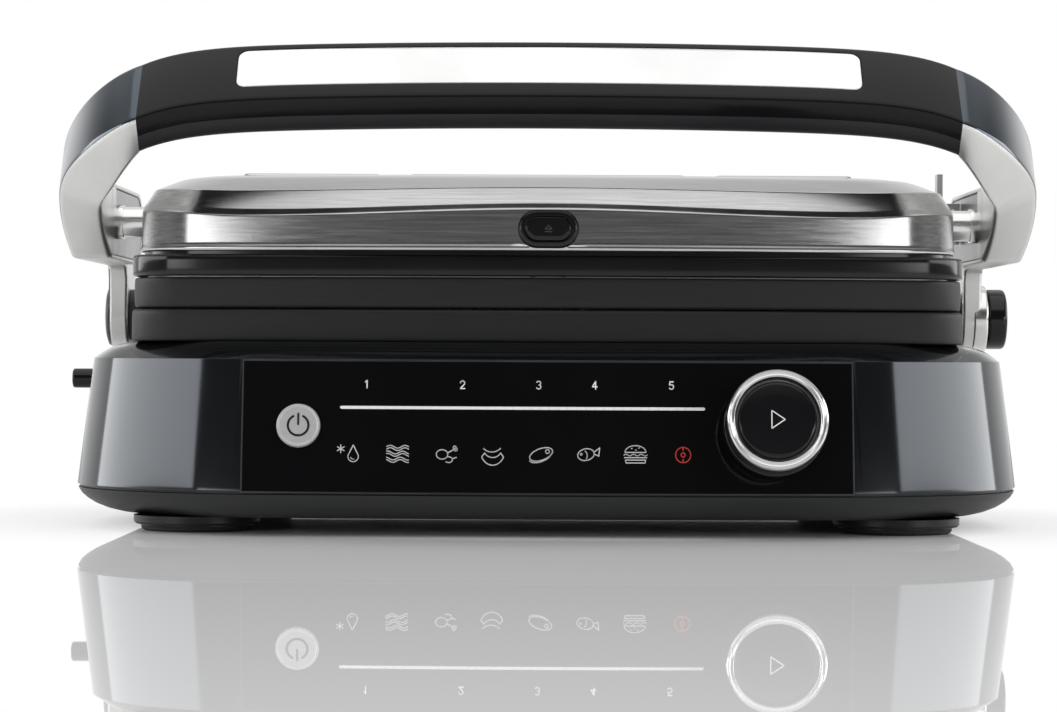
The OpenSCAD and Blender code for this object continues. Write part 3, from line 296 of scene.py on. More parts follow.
# %% Plate coat and inks
def coated_plate():
    f = Finish("plate_coat", IOR=1.35)
    drag = f.grain(f.place(60, 400, 2200), 1, 4, 0.6)
    speck = f.grain(f.place(), 2400, 2)
    mask = drag * 0.7 + speck * 0.3
    return f.use(
        Base_Color=f.tint(mask, (0.005, 0.005, 0.005), (0.021, 0.021, 0.021)),
        Roughness=0.38 + 0.2 * mask,
        Normal=f.bump(mask, 0.35, 0.00012),
    )


def ink(name, colour):
    f = Finish(name)
    uneven = f.grain(f.place(), 1200, 2)
    paint = f.tint(uneven, [c * 0.93 for c in colour], colour)
    return f.use(Base_Color=paint, Roughness=0.45 + 0.15 * uneven)


plate_coat = coated_plate()
white_ink = ink("white_ink", (0.80, 0.80, 0.79))
grey_ink = ink("grey_ink", (0.55, 0.55, 0.54))
black_ink = ink("black_ink", (0.012, 0.012, 0.013))
faint_ink = ink("faint_ink", (0.045, 0.045, 0.047))
red_ink = ink("red_ink", (0.62, 0.03, 0.025))
print("plate coat and inks ready")

# %% [markdown]
# ## Making a piece
# Each piece is a mesh in millimetres that is turned into metres once. It is shaded smooth, with its true
# edges kept sharp, rides on a body, and names the solids that it stands for.

# %% Piece helpers
SHARP = 34


def piece(name, points, faces, material, body, slot, replaces=(), sharp=SHARP, metres=False):
    mesh = bpy.data.meshes.new(name)
    mesh.from_pydata([Vector(p) if metres else at(*p) for p in points], [], faces)
    obj = bpy.data.objects.new(name, mesh)
    scene.collection.objects.link(obj)
    tidy_normals(obj)
    mesh.materials.append(material)
    mesh.shade_smooth()
    mesh.set_sharp_from_angle(angle=math.radians(sharp))
    if body:
        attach(obj, body)
    if replaces:
        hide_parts(*replaces)
    return obj


def tidy_normals(obj):
    work = bmesh.new()
    work.from_mesh(obj.data)
    bmesh.ops.recalc_face_normals(work, faces=work.faces)
    work.to_mesh(obj.data)
    work.free()


def round_edges(obj, width):
    bevel = obj.modifiers.new("round_edges", "BEVEL")
    bevel.width, bevel.segments, bevel.limit_method = width * MM, 3, "ANGLE"
    bevel.angle_limit, bevel.harden_normals = math.radians(SHARP), True


def carve(obj, cutters, sharp=SHARP):
    """Takes the cutters out of the piece for good, then deletes them."""
    for cutter in cutters:
        hole = obj.modifiers.new("hole", "BOOLEAN")
        hole.operation, hole.object, hole.solver = "DIFFERENCE", cutter, "EXACT"
    seen = obj.evaluated_get(bpy.context.evaluated_depsgraph_get())
    mesh = bpy.data.meshes.new_from_object(seen)
    obj.modifiers.clear()
    obj.data = mesh
    mesh.shade_smooth()
    mesh.set_sharp_from_angle(angle=math.radians(sharp))
    for cutter in cutters:
        bpy.data.objects.remove(cutter)


print("piece helpers ready")

# %% [markdown]
# Most of this grill is lofted: a plan outline that changes from ring to ring. The outline has a bowed
# front between two large corners and tighter corners at the back. Enough points on it keep the long
# reflections smooth.

# %% Outlines and lofts
def arc(cx, cy, r, a0, a1, n, first=0):
    """Points on a circle from angle a0 to a1 in n steps, in degrees."""
    angles = [math.radians(a0 + (a1 - a0) * i / n) for i in range(first, n + 1)]
    return [(cx + r * math.cos(a), cy + r * math.sin(a)) for a in angles]


def circle(r, steps):
    angles = [2 * math.pi * i / steps for i in range(steps)]
    return [(r * math.cos(a), r * math.sin(a)) for a in angles]


def bowed_outline(hw, yf, yr, rf, rr, bow):
    """Half width, front and rear depth, front and rear corner radius, and the radius of the bow."""
    turn = math.degrees(math.asin((hw - rf) / (bow - rf)))
    cy = yf + bow - (bow - rf) * math.cos(math.radians(turn))
    return (
        arc(0, yf + bow, bow, -90 - turn, -90 + turn, 36)
        + arc(hw - rf, cy, rf, -90 + turn, 0, 22, 1)
        + arc(hw - rr, yr - rr, rr, 0, 90, 9)
        + arc(rr - hw, yr - rr, rr, 90, 180, 9)
        + arc(rf - hw, cy, rf, 180, 270 - turn, 22)[:-1]
    )


def loft_faces(count, rings):
    """Faces between rings of count points each, and a cap at either end."""
    faces = [
        (k * count + i, k * count + (i + 1) % count, (k + 1) * count + (i + 1) % count, (k + 1) * count + i)
        for k in range(rings - 1)
        for i in range(count)
    ]
    return faces + [tuple(range(count))[::-1], tuple((rings - 1) * count + i for i in range(count))]


def loft(name, rings, *args, **kwargs):
    points = [p for ring in rings for p in ring]
    return piece(name, points, loft_faces(len(rings[0]), len(rings)), *args, **kwargs)


def softened(stations, share=0.35):
    """Rounds the corners of a profile: each inner station becomes five points of a small curve."""
    out = [stations[0]]
    for before, here, after in zip(stations, stations[1:], stations[2:]):
        a = [h + (b - h) * share for h, b in zip(here, before)]
        c = [h + (b - h) * share for h, b in zip(here, after)]
        for t in (0, 0.25, 0.5, 0.75, 1):
            shares = (1 - t) ** 2, 2 * t * (1 - t), t * t
            out.append([shares[0] * p + shares[1] * q + shares[2] * r for p, q, r in zip(a, here, c)])
    return out + [stations[-1]]


CUTTER = shell_black, None, None


def box_cutter(x0, x1, d0, d1, z0, z1):
    corners = [(x, d, z) for x in (x0, x1) for d in (d0, d1) for z in (z0, z1)]
    faces = [(0, 1, 3, 2), (4, 6, 7, 5), (0, 4, 5, 1), (2, 3, 7, 6), (0, 2, 6, 4), (1, 5, 7, 3)]
    return piece("cutter", corners, faces, *CUTTER)


def rod_cutter(point, axis, radius, length):
    turn = Vector((0, 0, 1)).rotation_difference(Vector(axis)).to_matrix()
    ring = circle(radius, 48)
    points = [Vector(point) + turn @ Vector((x, y, h)) for h in (0, length) for x, y in ring]
    return piece("cutter", points, loft_faces(len(ring), 2), *CUTTER)


print("loft helpers ready")

# %% [markdown]
# ## The base
# The housing is one moulding with a leaning, bowed front, big front corners and a sloped shoulder.
# It could be a box with a bevel, but then the lean and the bow would be lost, so it is lofted from the
# same outline as the solid. The wall behind the plates, the panel's window and the slots are then cut.

# %% Base housing
def base_outline(inset, front):
    return bowed_outline(
        BASE_W / 2 - inset, front, BASE_REAR - 0.3 * inset,
        FRONT_CORNER_R - inset, max(5, 12 - 0.4 * inset), FRONT_BOW_R)


def base_ring(z, inset, front=0.0):
    return [(x, d, z) for x, d in base_outline(inset, lean_at(min(z, EDGE_Z)) + front)]


def lid_notch(z0, z1):
    return box_cutter(-NOTCH_X, NOTCH_X, NOTCH_D, BASE_REAR + 20, z0, z1)


shoulder_profile = softened([(0, 0, 0), (0.68 * SHOULDER_H, 6.6, 6.6), (SHOULDER_H, 15, 14)], 0.4)
shoulder = [base_ring(EDGE_Z + rise, SIDE_DRAFT + side, front) for rise, side, front in shoulder_profile]
lower_profile = [(0.25, 0.5, 0.5), (0.7, 0.05, 0.05), (2, 0.25, 0)]
lower_wall = [base_ring(SEAM_Z + rise, side, front) for rise, side, front in lower_profile]
housing = loft(
    "housing_shell", lower_wall + shoulder, shell_black, "base", "housing_black", ["base_housing"])
carve(housing, [
    lid_notch(0, 90),
    box_cutter(-PANEL_HALF - 0.6, PANEL_HALF + 0.6, -20, 16, SEAM_Z - 2, EDGE_Z - 0.2),
    box_cutter(-TRAY_HALF, TRAY_HALF, NOTCH_D - 6, NOTCH_D + 1, SEAM_Z - 2, TRAY_TOP),
    rod_cutter((GLAND_X, NOTCH_D + 3, GLAND_Z), (0, -1, 0), GLAND_R, 12),
])
round_edges(housing, 0.7)
print("housing", len(housing.data.polygons), "faces")

# %% Bottom tray of the base
tray_stations = [
    (25, FLOOR_Z), (17, 6.35), (12.2, 7.5), (7.6, 9.3), (4.2, 11.4),
    (1.9, 13.4), (0.9, 15.0), (0.55, 15.9), (1.3, 16.3), (1.3, SEAM_Z + 0.3)]
tray_rings = [
    [(x, d, z) for x, d in base_outline(inset, lean_at(SEAM_Z) + inset)] for inset, z in tray_stations]
bottom = loft("bottom_tray", tray_rings, tray_black, "base", "tray_dark", ["base_bottom"], sharp=50)
carve(bottom, [lid_notch(0, 40)], sharp=50)
print("bottom tray", len(bottom.data.polygons), "faces")

# %% [markdown]
# The control panel is a separate glossy sheet, 2 mm thick, bent to the bow of the housing. A strip that
# follows the same formula keeps its reflection in line with the shell's.

# %% Control panel
def face_point(x, z, lift=0.0):
    """A point on the panel's face, lifted off it by a distance in millimetres."""
    return (x, bow_at(x) + lean_at(z) - lift * math.cos(LEAN), z + lift * math.sin(LEAN))


def panel_strip(hw, z0, z1):
    xs = [-hw + 2 * hw * i / 72 for i in range(73)]
    section = (z0, 0), (z1, 0), (z1, -2), (z0, -2)
    return [face_point(x, z, lift) for x in xs for z, lift in section], loft_faces(len(section), len(xs))


def panel_bore(x, radius):
    """A hole square to the panel's face, begun behind the panel."""
    return rod_cutter((x, bow_at(x) + 6, MID_Z - 1), (0, -math.cos(LEAN), math.sin(LEAN)), radius, 14)


panel_shape = panel_strip(PANEL_HALF, PANEL_LOW, PANEL_HIGH)
panel = piece("panel_face", *panel_shape, panel_black, "base", "panel_black", ["control_panel"])
carve(panel, [panel_bore(KNOB_X, SHAFT_R), panel_bore(POWER_X, POWER_D / 2 + 0.3)])
round_edges(panel, 0.35)
print("panel face done")

# %% [markdown]
# Printed marks are drawn as strokes: a list of points in the panel's plane becomes a flat ribbon with
# round joints, laid 0.05 mm above the glossy face. The numbers and food pictograms are plain line
# drawings made here from lines, ellipses and waves.

# %% Strokes on the panel
def stroke_mesh(strokes, width, to_space, round_steps=8):
    points, faces = [], []
    for stroke in strokes:
        for (x0, z0), (x1, z1) in zip(stroke, stroke[1:]):
            run = math.hypot(x1 - x0, z1 - z0) or 1e-6
            sx, sz = -(z1 - z0) / run * width / 2, (x1 - x0) / run * width / 2
            start = len(points)
            corners = (x0 - sx, z0 - sz), (x1 - sx, z1 - sz), (x1 + sx, z1 + sz), (x0 + sx, z0 + sz)
            points += [to_space(x, z) for x, z in corners]
            faces.append((start, start + 1, start + 2, start + 3))
        for x, z in stroke:
            start = len(points)
            points += [to_space(x + u, z + v) for u, v in circle(width / 2, round_steps)]
            faces.append(tuple(range(start, start + round_steps)))
    return points, faces


def ellipse(cx, cz, rx, rz, a0=0, a1=360, n=20, tilt=0.0):
    out = []
    for i in range(n + 1):
        a = math.radians(a0 + (a1 - a0) * i / n)
        u, v = rx * math.cos(a), rz * math.sin(a)
        out.append((cx + u * math.cos(tilt) - v * math.sin(tilt), cz + u * math.sin(tilt) + v * math.cos(tilt)))
    return out


def shifted(strokes, x, z, size=1.0):
    return [[(x + u * size, z + v * size) for u, v in s] for s in strokes]


print("stroke helper ready")

# %% Numbers and line
DIGITS = {
    1: [[(-0.16, 0.28), (0.06, 0.5), (0.06, -0.5)]],
    2: [ellipse(0, 0.2, 0.27, 0.3, 170, -30, 8) + [(-0.27, -0.5), (0.3, -0.5)]],
    3: [ellipse(-0.02, 0.24, 0.26, 0.26, 150, -80, 8) + ellipse(-0.02, -0.25, 0.3, 0.26, 80, -150, 8)],
    4: [[(0.12, -0.5), (0.12, 0.5), (-0.3, -0.2), (0.32, -0.2)]],
    5: [[(0.26, 0.5), (-0.2, 0.5), (-0.25, 0.06)] + ellipse(-0.01, -0.18, 0.29, 0.31, 125, -150, 9)],
}
NUMBER_X, NUMBER_Z, NUMBER_H = [-69.5, -32.7, -3.5, 17.9, 47.3], 58.4, 2.9
GUIDE_X, GUIDE_LONG, GUIDE_Z, GUIDE_STEPS = -79, 138.6, 49.5, 40
numbers = [s for i, x in enumerate(NUMBER_X) for s in shifted(DIGITS[i + 1], x, NUMBER_Z, NUMBER_H)]
guide_line = [[(GUIDE_X + GUIDE_LONG * i / GUIDE_STEPS, GUIDE_Z) for i in range(GUIDE_STEPS + 1)]]


def on_face(x, z):
    return face_point(x, z, 0.05)


piece("panel_numbers", *stroke_mesh(numbers, 0.45, on_face), white_ink, "base", "trim_light")
piece("panel_line", *stroke_mesh(guide_line, 1.15, on_face), white_ink, "base", "trim_light")
print("numbers:", len(NUMBER_X))

# %% Food pictograms
def wave(x0, x1, z, height, turns, phase=0.0, n=16):
    shares = [i / n for i in range(n + 1)]
    return [(x0 + (x1 - x0) * t, z + height * math.sin(phase + 2 * math.pi * turns * t)) for t in shares]


def drop(cx, cz, r, h):
    return [(cx, cz + h)] + ellipse(cx, cz, r, r, 40, -220, 14) + [(cx, cz + h)]


def spoke(cx, cz, r, a):
    """A line through a centre, at an angle in radians."""
    return [(cx + s * r * math.cos(a), cz + s * r * math.sin(a)) for s in (-1, 1)]


star = [spoke(-3.5, 1.7, 1.5, a) for a in (0.52, 1.57, 2.62)]
crescent = ellipse(0, 3.4, 4.6, 5.4, 205, 335, 14) + ellipse(0, 4.6, 3.6, 3.7, 328, 212, 14)
rasher_waves = ((2.6, 0), (1.7, 0), (0.4, 1), (-0.5, 1), (-1.9, 2), (-2.8, 2))
PICTOGRAMS = [
    star + [drop(1.3, -1.2, 2.0, 4.4), ellipse(1.3, -1.2, 1.0, 1.0, 200, 280, 5)],
    [wave(-4.2, 4.2, z, 0.55, 1.5, phase) for z, phase in rasher_waves],
    [ellipse(-1.3, -0.2, 2.2, 1.8), [(0.9, 0.4), (3.4, 1.8)],
     ellipse(3.9, 1.7, 0.6, 0.6, n=8), ellipse(3.5, 2.4, 0.6, 0.6, n=8),
     ellipse(1.2, -2.2, 1.5, 1.1, 160, -130, 12), [(2.6, -1.9), (4.2, -1.3)]],
    [*shifted([crescent + crescent[:1]], 0, -2.2), ellipse(-0.3, 5.0, 4.4, 4.2, 225, 318, 12)],
    [ellipse(0, 0, 4.6, 2.2, n=26, tilt=0.35), ellipse(2.4, 1.1, 0.75, 0.75, n=10),
     ellipse(-0.4, -0.7, 4.4, 2.1, 190, 335, 16, 0.35)],
    [ellipse(-0.8, 0, 3.2, 2.2, n=24, tilt=0.2), [(2.2, 0.8), (4.4, 2.6), (4.1, -0.6), (2.2, 0.3)],
     ellipse(-2.6, 0.1, 0.35, 0.35, n=8), ellipse(-1.4, -0.2, 1.1, 1.6, -60, 60, 8, 0.2)],
    [ellipse(0, 0.9, 4.0, 2.6, 0, 180, 18) + [(4.0, 0.9)], wave(-4.4, 4.4, -0.1, 0.35, 3, 0, 24),
     [(-4.2, -1.1), (4.2, -1.1)], [(-3.9, -2.0), (-3.6, -3.1), (3.6, -3.1), (3.9, -2.0), (-3.9, -2.0)],
     [(-1.6, 2.4), (-1.3, 2.4)], [(1.2, 2.6), (1.5, 2.6)], [(0, 1.8), (0.3, 1.8)]],
]
PICTOGRAM_X, PICTOGRAM_Z, OWN_MARK_X = [-75.6, -57.3, -39.0, -21.0, -2.5, 15.4, 33.5], 32.0, 51.7
foods = [s for strokes, x in zip(PICTOGRAMS, PICTOGRAM_X) for s in shifted(strokes, x, PICTOGRAM_Z)]
own_strokes = [
    ellipse(0, 0, 2.9, 2.9, n=26), ellipse(0, 0, 0.8, 0.8, n=10), [(0, 1.6), (0, 2.9)], [(0, -1.6), (0, -2.9)]]
own_mark = shifted(own_strokes, OWN_MARK_X, PICTOGRAM_Z)
piece("panel_pictograms", *stroke_mesh(foods, 0.38, on_face), grey_ink, "base", "trim_light")
piece("panel_mode_mark", *stroke_mesh(own_mark, 0.42, on_face), red_ink, "base", "trim_light")
print("pictograms:", len(PICTOGRAMS))

# %% [markdown]
# ## Turned pieces
# The knob, its bright ring, the start cap and the power button are bodies of revolution, so each is one
# profile spun round the panel's axis. Profiles are in radius and height above the panel.

# %% Spinning a profile
def panel_axis(x):
    turn = Matrix.Rotation(-LEAN, 4, "X") @ Matrix.Rotation(math.radians(90), 4, "X")
    return Matrix.Translation((x, bow_at(x), MID_Z)) @ turn


def side_axis(x, d, z):
    return Matrix.Translation((x, d, z)) @ Matrix.Rotation(math.radians(90), 4, "Y")


def spin(name, profile, place, *args, soft=0.3):
    rings = [[place @ Vector((x, y, h)) for x, y in circle(r, 96)] for r, h in softened(profile, soft)]
    return loft(name, rings, *args)


print("spin helper ready")

# %% Turning knob, its ring and the start cap
knob_place = panel_axis(KNOB_X)
base_r = KNOB_D / 2 + 0.5
seat, rim_r, face_r = KNOB_OUT - 6, KNOB_D / 2, KNOB_FACE_D / 2
knob_body = [
    (SHAFT_R, 1.95), (base_r - 0.6, 1.95), (base_r, 2.6), (base_r, 8.2), (base_r - 0.5, 9), (base_r - 1.6, 9.2),
    (base_r - 1.8, seat), (15.05, seat), (15.0, KNOB_OUT - 11), (SHAFT_R, KNOB_OUT - 11)]
spin("knob_shell", knob_body, knob_place, knob_black, "knob", "knob_black", ["knob_body"], soft=0.2)
ring_profile = [
    (face_r, seat), (rim_r, seat), (rim_r + 0.2, KNOB_OUT - 3), (rim_r - 0.2, KNOB_OUT - 0.9),
    (rim_r - 1.0, KNOB_OUT - 0.05), (rim_r - 1.8, KNOB_OUT - 0.5), (face_r + 1.7, KNOB_OUT - 0.5),
    (face_r + 0.8, KNOB_OUT - 0.05), (face_r + 0.1, KNOB_OUT - 1.1), (face_r, KNOB_OUT - 5.9)]
spin("knob_bright_ring", ring_profile, knob_place, ring_metal, "knob", "bright_chrome", ["knob_ring"])
cap_r = face_r - 0.25
cap_profile = [
    (AXIS_R, seat), (cap_r - 0.6, seat), (cap_r - 0.5, KNOB_OUT - 2.6), (cap_r - 1.2, KNOB_OUT - 1.8),
    (cap_r * 0.6, KNOB_OUT - 1.15), (AXIS_R, KNOB_OUT - 0.95)]
spin("start_cap", cap_profile, knob_place, knob_black, "start_button", "knob_black", ["start_button"])
triangle = [[(-2.3, 3.4), (-2.3, -3.4), (2.7, 0), (-2.3, 3.4)]]


def on_disc(place, height):
    return lambda x, z: tuple(place @ Vector((x, z, height)))


start_mark = stroke_mesh(triangle, 0.4, on_disc(knob_place, KNOB_OUT - 0.86))
piece("start_mark", *start_mark, white_ink, "start_button", "trim_light")
print("knob outer radius", base_r, "mm")

# %% Power button
power_place, power_r = panel_axis(POWER_X), POWER_D / 2
power_profile = [
    (AXIS_R, -0.6), (power_r - 0.05, -0.6), (power_r, 1.2), (power_r - 0.35, 1.95), (power_r - 0.9, 2.0),
    (power_r - 1.3, 1.7), (AXIS_R, 1.8)]
spin("power_disc", power_profile, power_place, button_metal, "power_button", "satin_silver",
     ["power_button"], soft=0.25)
power_strokes = [ellipse(0, 0, 3.95, 3.95, 118, 422, 40), [(0, 4.4), (0, 0.4)]]
power_mark = stroke_mesh(power_strokes, 0.85, on_disc(power_place, 1.86), 12)
piece("power_mark", *power_mark, black_ink, "power_button", "knob_black")
print("power button ready")

# %% [markdown]
# ## The plates
# A cast plate is a shallow tray with a thick rounded rim and a comb of ribs that stay just below it.
# The rim is lofted out of its outline at growing insets: out, over the lip, down inside, and across.
# The ribs are then rounded bars as long as the outline allows at their place.

# %% Grill plates
def plate_outline(w, inset):
    return bowed_outline(
        w / 2 - inset, PLATE_FRONT + inset, PLATE_REAR - inset, 22 - inset, max(3.5, 10 - inset), PLATE_BOW_R)


def plate_mesh(w, h, z_open, up):
    """z_open is the height of the rim's lip; up is 1 if the ribs look up and -1 if they look down."""
    stations = softened([
        (5, h), (0.6, h), (0, h - 1.2), (0, 1.1), (1.1, 0), (3.8, 0), (5.6, 0.8),
        (6.6, RIB_DEEP), (9, RIB_DEEP)], 0.4)
    points = [(x, d, z_open - up * fall) for inset, fall in stations for x, d in plate_outline(w, inset)]
    faces = loft_faces(len(plate_outline(w, 0)), len(stations))
    edge = plate_outline(w, 10.5)
    section = [
        (-RIB_HALF - 1, RIB_DEEP), (-RIB_HALF - 0.25, 1.3), (-RIB_HALF + 0.5, 0.6),
        (RIB_HALF - 0.5, 0.6), (RIB_HALF + 0.25, 1.3), (RIB_HALF + 1, RIB_DEEP)]
    ribs = int((w - 26) / RIB_PITCH) // 2
    for i in range(-ribs, ribs + 1):
        x = i * RIB_PITCH
        front = min(d for u, d in edge if abs(u - x) < 8)
        front = max(front, PLATE_FRONT + 10.5 + (12 if abs(x) > w / 2 - 24 else 0))
        start = len(points)
        ends = [(front, RIB_DEEP), (front + 3, 0.0), (PLATE_REAR - 13.5, 0.0), (PLATE_REAR - 10.5, RIB_DEEP)]
        for d, drop_by in ends:
            points += [(x + u, d, z_open - up * min(RIB_DEEP, v + drop_by)) for u, v in section]
        faces += [tuple(start + n for n in face) for face in loft_faces(len(section), len(ends))]
    return points, faces


lower_shape = plate_mesh(PLATE_W, 12.8, PARTING_Z, 1)
lower = piece("lower_grill_plate", *lower_shape, plate_coat, "base", "plate_coating", ["lower_plate"], sharp=40)
spout = box_cutter(-13, 13, PLATE_REAR - 7, PLATE_REAR + 2, PARTING_Z - RIB_DEEP, PARTING_Z + 1)
carve(lower, [spout], sharp=40)
upper_shape = plate_mesh(PLATE_W - 2, 12.2, PARTING_Z + 0.3, -1)
piece("upper_grill_plate", *upper_shape, plate_coat, "lid", "plate_coating", ["upper_plate"], sharp=40)
print("plates with ribs:", len(lower.data.polygons), "faces below")

# %% [markdown]
# ## The lid
# The cover is one sheet of brushed steel: an upright band, a chamfer, a long slope and a flat top.
# Its edges are softened where the press bent the sheet. Three low bars are embossed on the flat top.

# %% Lid cover
# A station is a share of the height, the insets at the side and at the front, and the creases' dip.
HEM_STATIONS = [
    (0, 1.0, 1.0, 0), (0, 0.1, 0.1, 0), (0.012, -0.25, -0.25, 0), (0.05, -0.3, -0.3, 0),
    (0.066, 0.05, 0.05, 0), (0.1, 0.08, 0.12, 0)]
LID_STATIONS = [
    (0.14, 0.1, 0.18, 0.28), (0.46, 0.28, 0.64, 2.52), (0.5, 0.3, 0.7, 2.8), (0.57, 1.1, 2.3, 2.8),
    (0.59, 1.49, 2.6, 2.66), (0.75, 4.61, 5, 1.54), (0.77, 5, 5.3, 1.4), (0.79, 5.9, 8.9, 1.25),
    (0.95, 13, 38, 0), (1, 18, 56, 0)]
CREASE_X, CREASE_REACH = 0.74 * LID_W / 2, 90


def crease_dip(x, d):
    """The creases over the front dip towards the corners and rise again at the sides."""
    if x < CREASE_X:
        share = math.sin(math.pi / 2 * x / CREASE_X)
    else:
        share = math.cos(math.pi / 2 * (x - CREASE_X) / (LID_W / 2 - CREASE_X))
    return max(0, 1 - (d - LID_FRONT) / CREASE_REACH) * share ** 2


def lid_ring(share, side, front, dip=0.0, grow=0.0):
    outline = bowed_outline(
        LID_W / 2 - side - grow, LID_FRONT + front + grow, LID_REAR - side * 0.7 - grow,
        LID_CORNER_R - grow, LID_REAR_R - grow, LID_BOW_R)
    return [(x, d, LID_Z + share * LID_H - dip * crease_dip(abs(x), d)) for x, d in outline]


lid_profile = HEM_STATIONS[:-1] + softened(HEM_STATIONS[-1:] + LID_STATIONS, 0.3)
lid_rings = [lid_ring(*station) for station in lid_profile]
cover = loft("lid_shell", lid_rings, lid_steel, "lid", "lid_steel", ["lid_cover"], sharp=60)
BEZEL_W, BEZEL_H, RELEASE_W, RELEASE_H = 23.2, 14.6, 17.6, 9.2
BEZEL_Z = LID_Z + BEZEL_H / 2 + 1.2


def oval(w, h, grow):
    half, r = (w - h) / 2, h / 2 + grow
    return arc(half, BEZEL_Z, r, -90, 90, 16) + arc(-half, BEZEL_Z, r, 90, 270, 16)


def oval_loft(name, w, h, stations, *args, **kwargs):
    """Stations give a depth behind the lid's front and a growth of the oval."""
    rings = [[(x, LID_FRONT + d, z) for x, z in oval(w, h, grow)] for d, grow in stations]
    return loft(name, rings, *args, **kwargs)


def oval_cutter(w, h, d0, d1, grow):
    return oval_loft("cutter", w, h, [(d0, grow), (d1, grow)], *CUTTER)


pin_holes = [rod_cutter((x - 5, PIVOT_D, PIVOT_Z), (1, 0, 0), PIN_HOLE_R, 10) for x in (-LID_W / 2, LID_W / 2)]
carve(cover, [oval_cutter(BEZEL_W, BEZEL_H, -5, 14, 0.25), *pin_holes], sharp=60)
print("lid cover", len(cover.data.polygons), "faces")

# %% Embossed bars on the lid
def embossed_bar(name, x, w):
    d0, d1, z = LID_FRONT + 70, LID_REAR - 34, LID_Z + LID_H

    def ring(inset, height):
        r = 3.2
        x0, x1 = x - w / 2 + r, x + w / 2 - r
        corners = [(x1, d1 - r, 0), (x0, d1 - r, 90), (x0, d0 + r, 180), (x1, d0 + r, 270)]
        outline = [p for cx, cy, a in corners for p in arc(cx, cy, r - inset, a, a + 90, 6)]
        return [(px, py, z + height) for px, py in outline]

    rings = [ring(0, -0.4), ring(0, 0.15), ring(0.3, 0.6), ring(0.8, 0.9), ring(1.6, 1.0)]
    loft(name, rings, lid_steel, "lid", "lid_steel")


MIDDLE_BAR_W, SIDE_BAR_W, BAR_GAP = 113, 56, 12
embossed_bar("lid_bar_middle", 0, MIDDLE_BAR_W)
for side, word in ((-1, "left"), (1, "right")):
    embossed_bar(f"lid_bar_{word}", side * (MIDDLE_BAR_W / 2 + BAR_GAP + SIDE_BAR_W / 2), SIDE_BAR_W)
print("three embossed bars")

# %% Lid skirt
def skirt_ring(z, inset):
    outline = bowed_outline(
        PLATE_W / 2 + 0.1 - inset, PLATE_FRONT - 1.5 + inset, PLATE_REAR + 2 - inset,
        26 - inset, max(3, 12 - inset), PLATE_BOW_R)
    return [(x, d, z) for x, d in outline]


skirt_stations = softened([
    (6, SKIRT_Z - 0.4), (0.7, SKIRT_Z - 0.4), (0, SKIRT_Z + 0.4),
    (0, SKIRT_TOP - 1.2), (0.9, SKIRT_TOP), (7, SKIRT_TOP)], 0.35)
skirt_rings = [skirt_ring(z, inset) for inset, z in skirt_stations]
loft("lid_skirt_frame", skirt_rings, skirt_black, "lid", "housing_black", ["lid_skirt"], sharp=50)
upstand = [lid_ring(rise / LID_H, 0, 0, 0, g) for rise, g in ((-1.8, 1.5), (4.7, 1.6))]
loft("lid_skirt_upstand", upstand, skirt_black, "lid", "housing_black")
print("skirt and upstand")

# %% Release bezel and its button
bezel_stations = [(8, 0), (0.4, 0), (-0.4, -0.25), (-0.8, -0.9), (-0.8, -2.0)]
bezel = oval_loft(
    "release_bezel_ring", BEZEL_W, BEZEL_H, bezel_stations, knob_black, "lid", "knob_black", ["release_bezel"])
carve(bezel, [oval_cutter(RELEASE_W, RELEASE_H, -3, 9, 0.3)])
round_edges(bezel, 0.35)
cap_stations = [(9.8, 0), (-1.2, 0), (-1.6, -0.25), (-1.8, -0.8), (-1.8, -2)]
oval_loft(
    "lid_release_cap", RELEASE_W, RELEASE_H, cap_stations,
    knob_black, "lid_release", "knob_black", ["lid_release_button"])


def on_release(x, z):
    return (x, LID_FRONT - 1.86, BEZEL_Z + z)


release_strokes = [[(-1.4, -0.2), (0, 1.3), (1.4, -0.2), (-1.4, -0.2)], [(-1.4, -1.2), (1.4, -1.2)]]
release_mark = stroke_mesh(release_strokes, 0.3, on_release)
piece("lid_release_mark", *release_mark, faint_ink, "lid_release", "trim_light")
print("bezel ready")

# %% [markdown]
# ## The handle
# The grip is two black shells, one on the other, with a bright strip let into the upper one. The bar
# keeps one slanted section. An even bow lowers it a little towards its ends, and a high power of the
# distance adds the short bend near the arms.

# %% Bar section
def bar_point(x, a, b):
    """A point of the bar: a runs up its bright face, b goes down into it."""
    c, s = math.cos(BAR_TILT), math.sin(BAR_TILT)
    sag = BAR_BOW * (x / BAR_X) ** 2 + BAR_DROP * (abs(x) / BAR_X) ** 9.6
    return (x, a * c + b * s, BAR_Z - sag + a * s - b * c)


def rounded_section(corners, radii):
    """Every corner becomes five points of a small curve; each corner has its own radius."""
    out = []
    for i, (p, r) in enumerate(zip(corners, radii)):
        p, before, after = Vector(p), Vector(corners[i - 1]), Vector(corners[(i + 1) % len(corners)])
        u, v = before - p, after - p
        a, c = p + u * min(0.45, r / u.length), p + v * min(0.45, r / v.length)
        for t in (0, 0.25, 0.5, 0.75, 1):
            out.append((1 - t) ** 2 * a + 2 * t * (1 - t) * p + t * t * c)
    return out


def bar_ring(x, a0, a1, b0, b1, radii):
    return rounded_section([bar_point(x, a, b) for a, b in ((a0, b0), (a0, b1), (a1, b1), (a1, b0))], radii)


def bar_loft(name, x1, a0, a1, b0, b1, radii, *args, **kwargs):
    xs = [x1 * math.sin(math.pi * (i / 72 - 0.5)) for i in range(73)]
    return loft(name, [bar_ring(x, a0, a1, b0, b1, radii) for x in xs], *args, **kwargs)


print("bar section has", len(bar_ring(0, 0, BAR_A, 0, BAR_B, (2, 2, 2, 2))), "points")

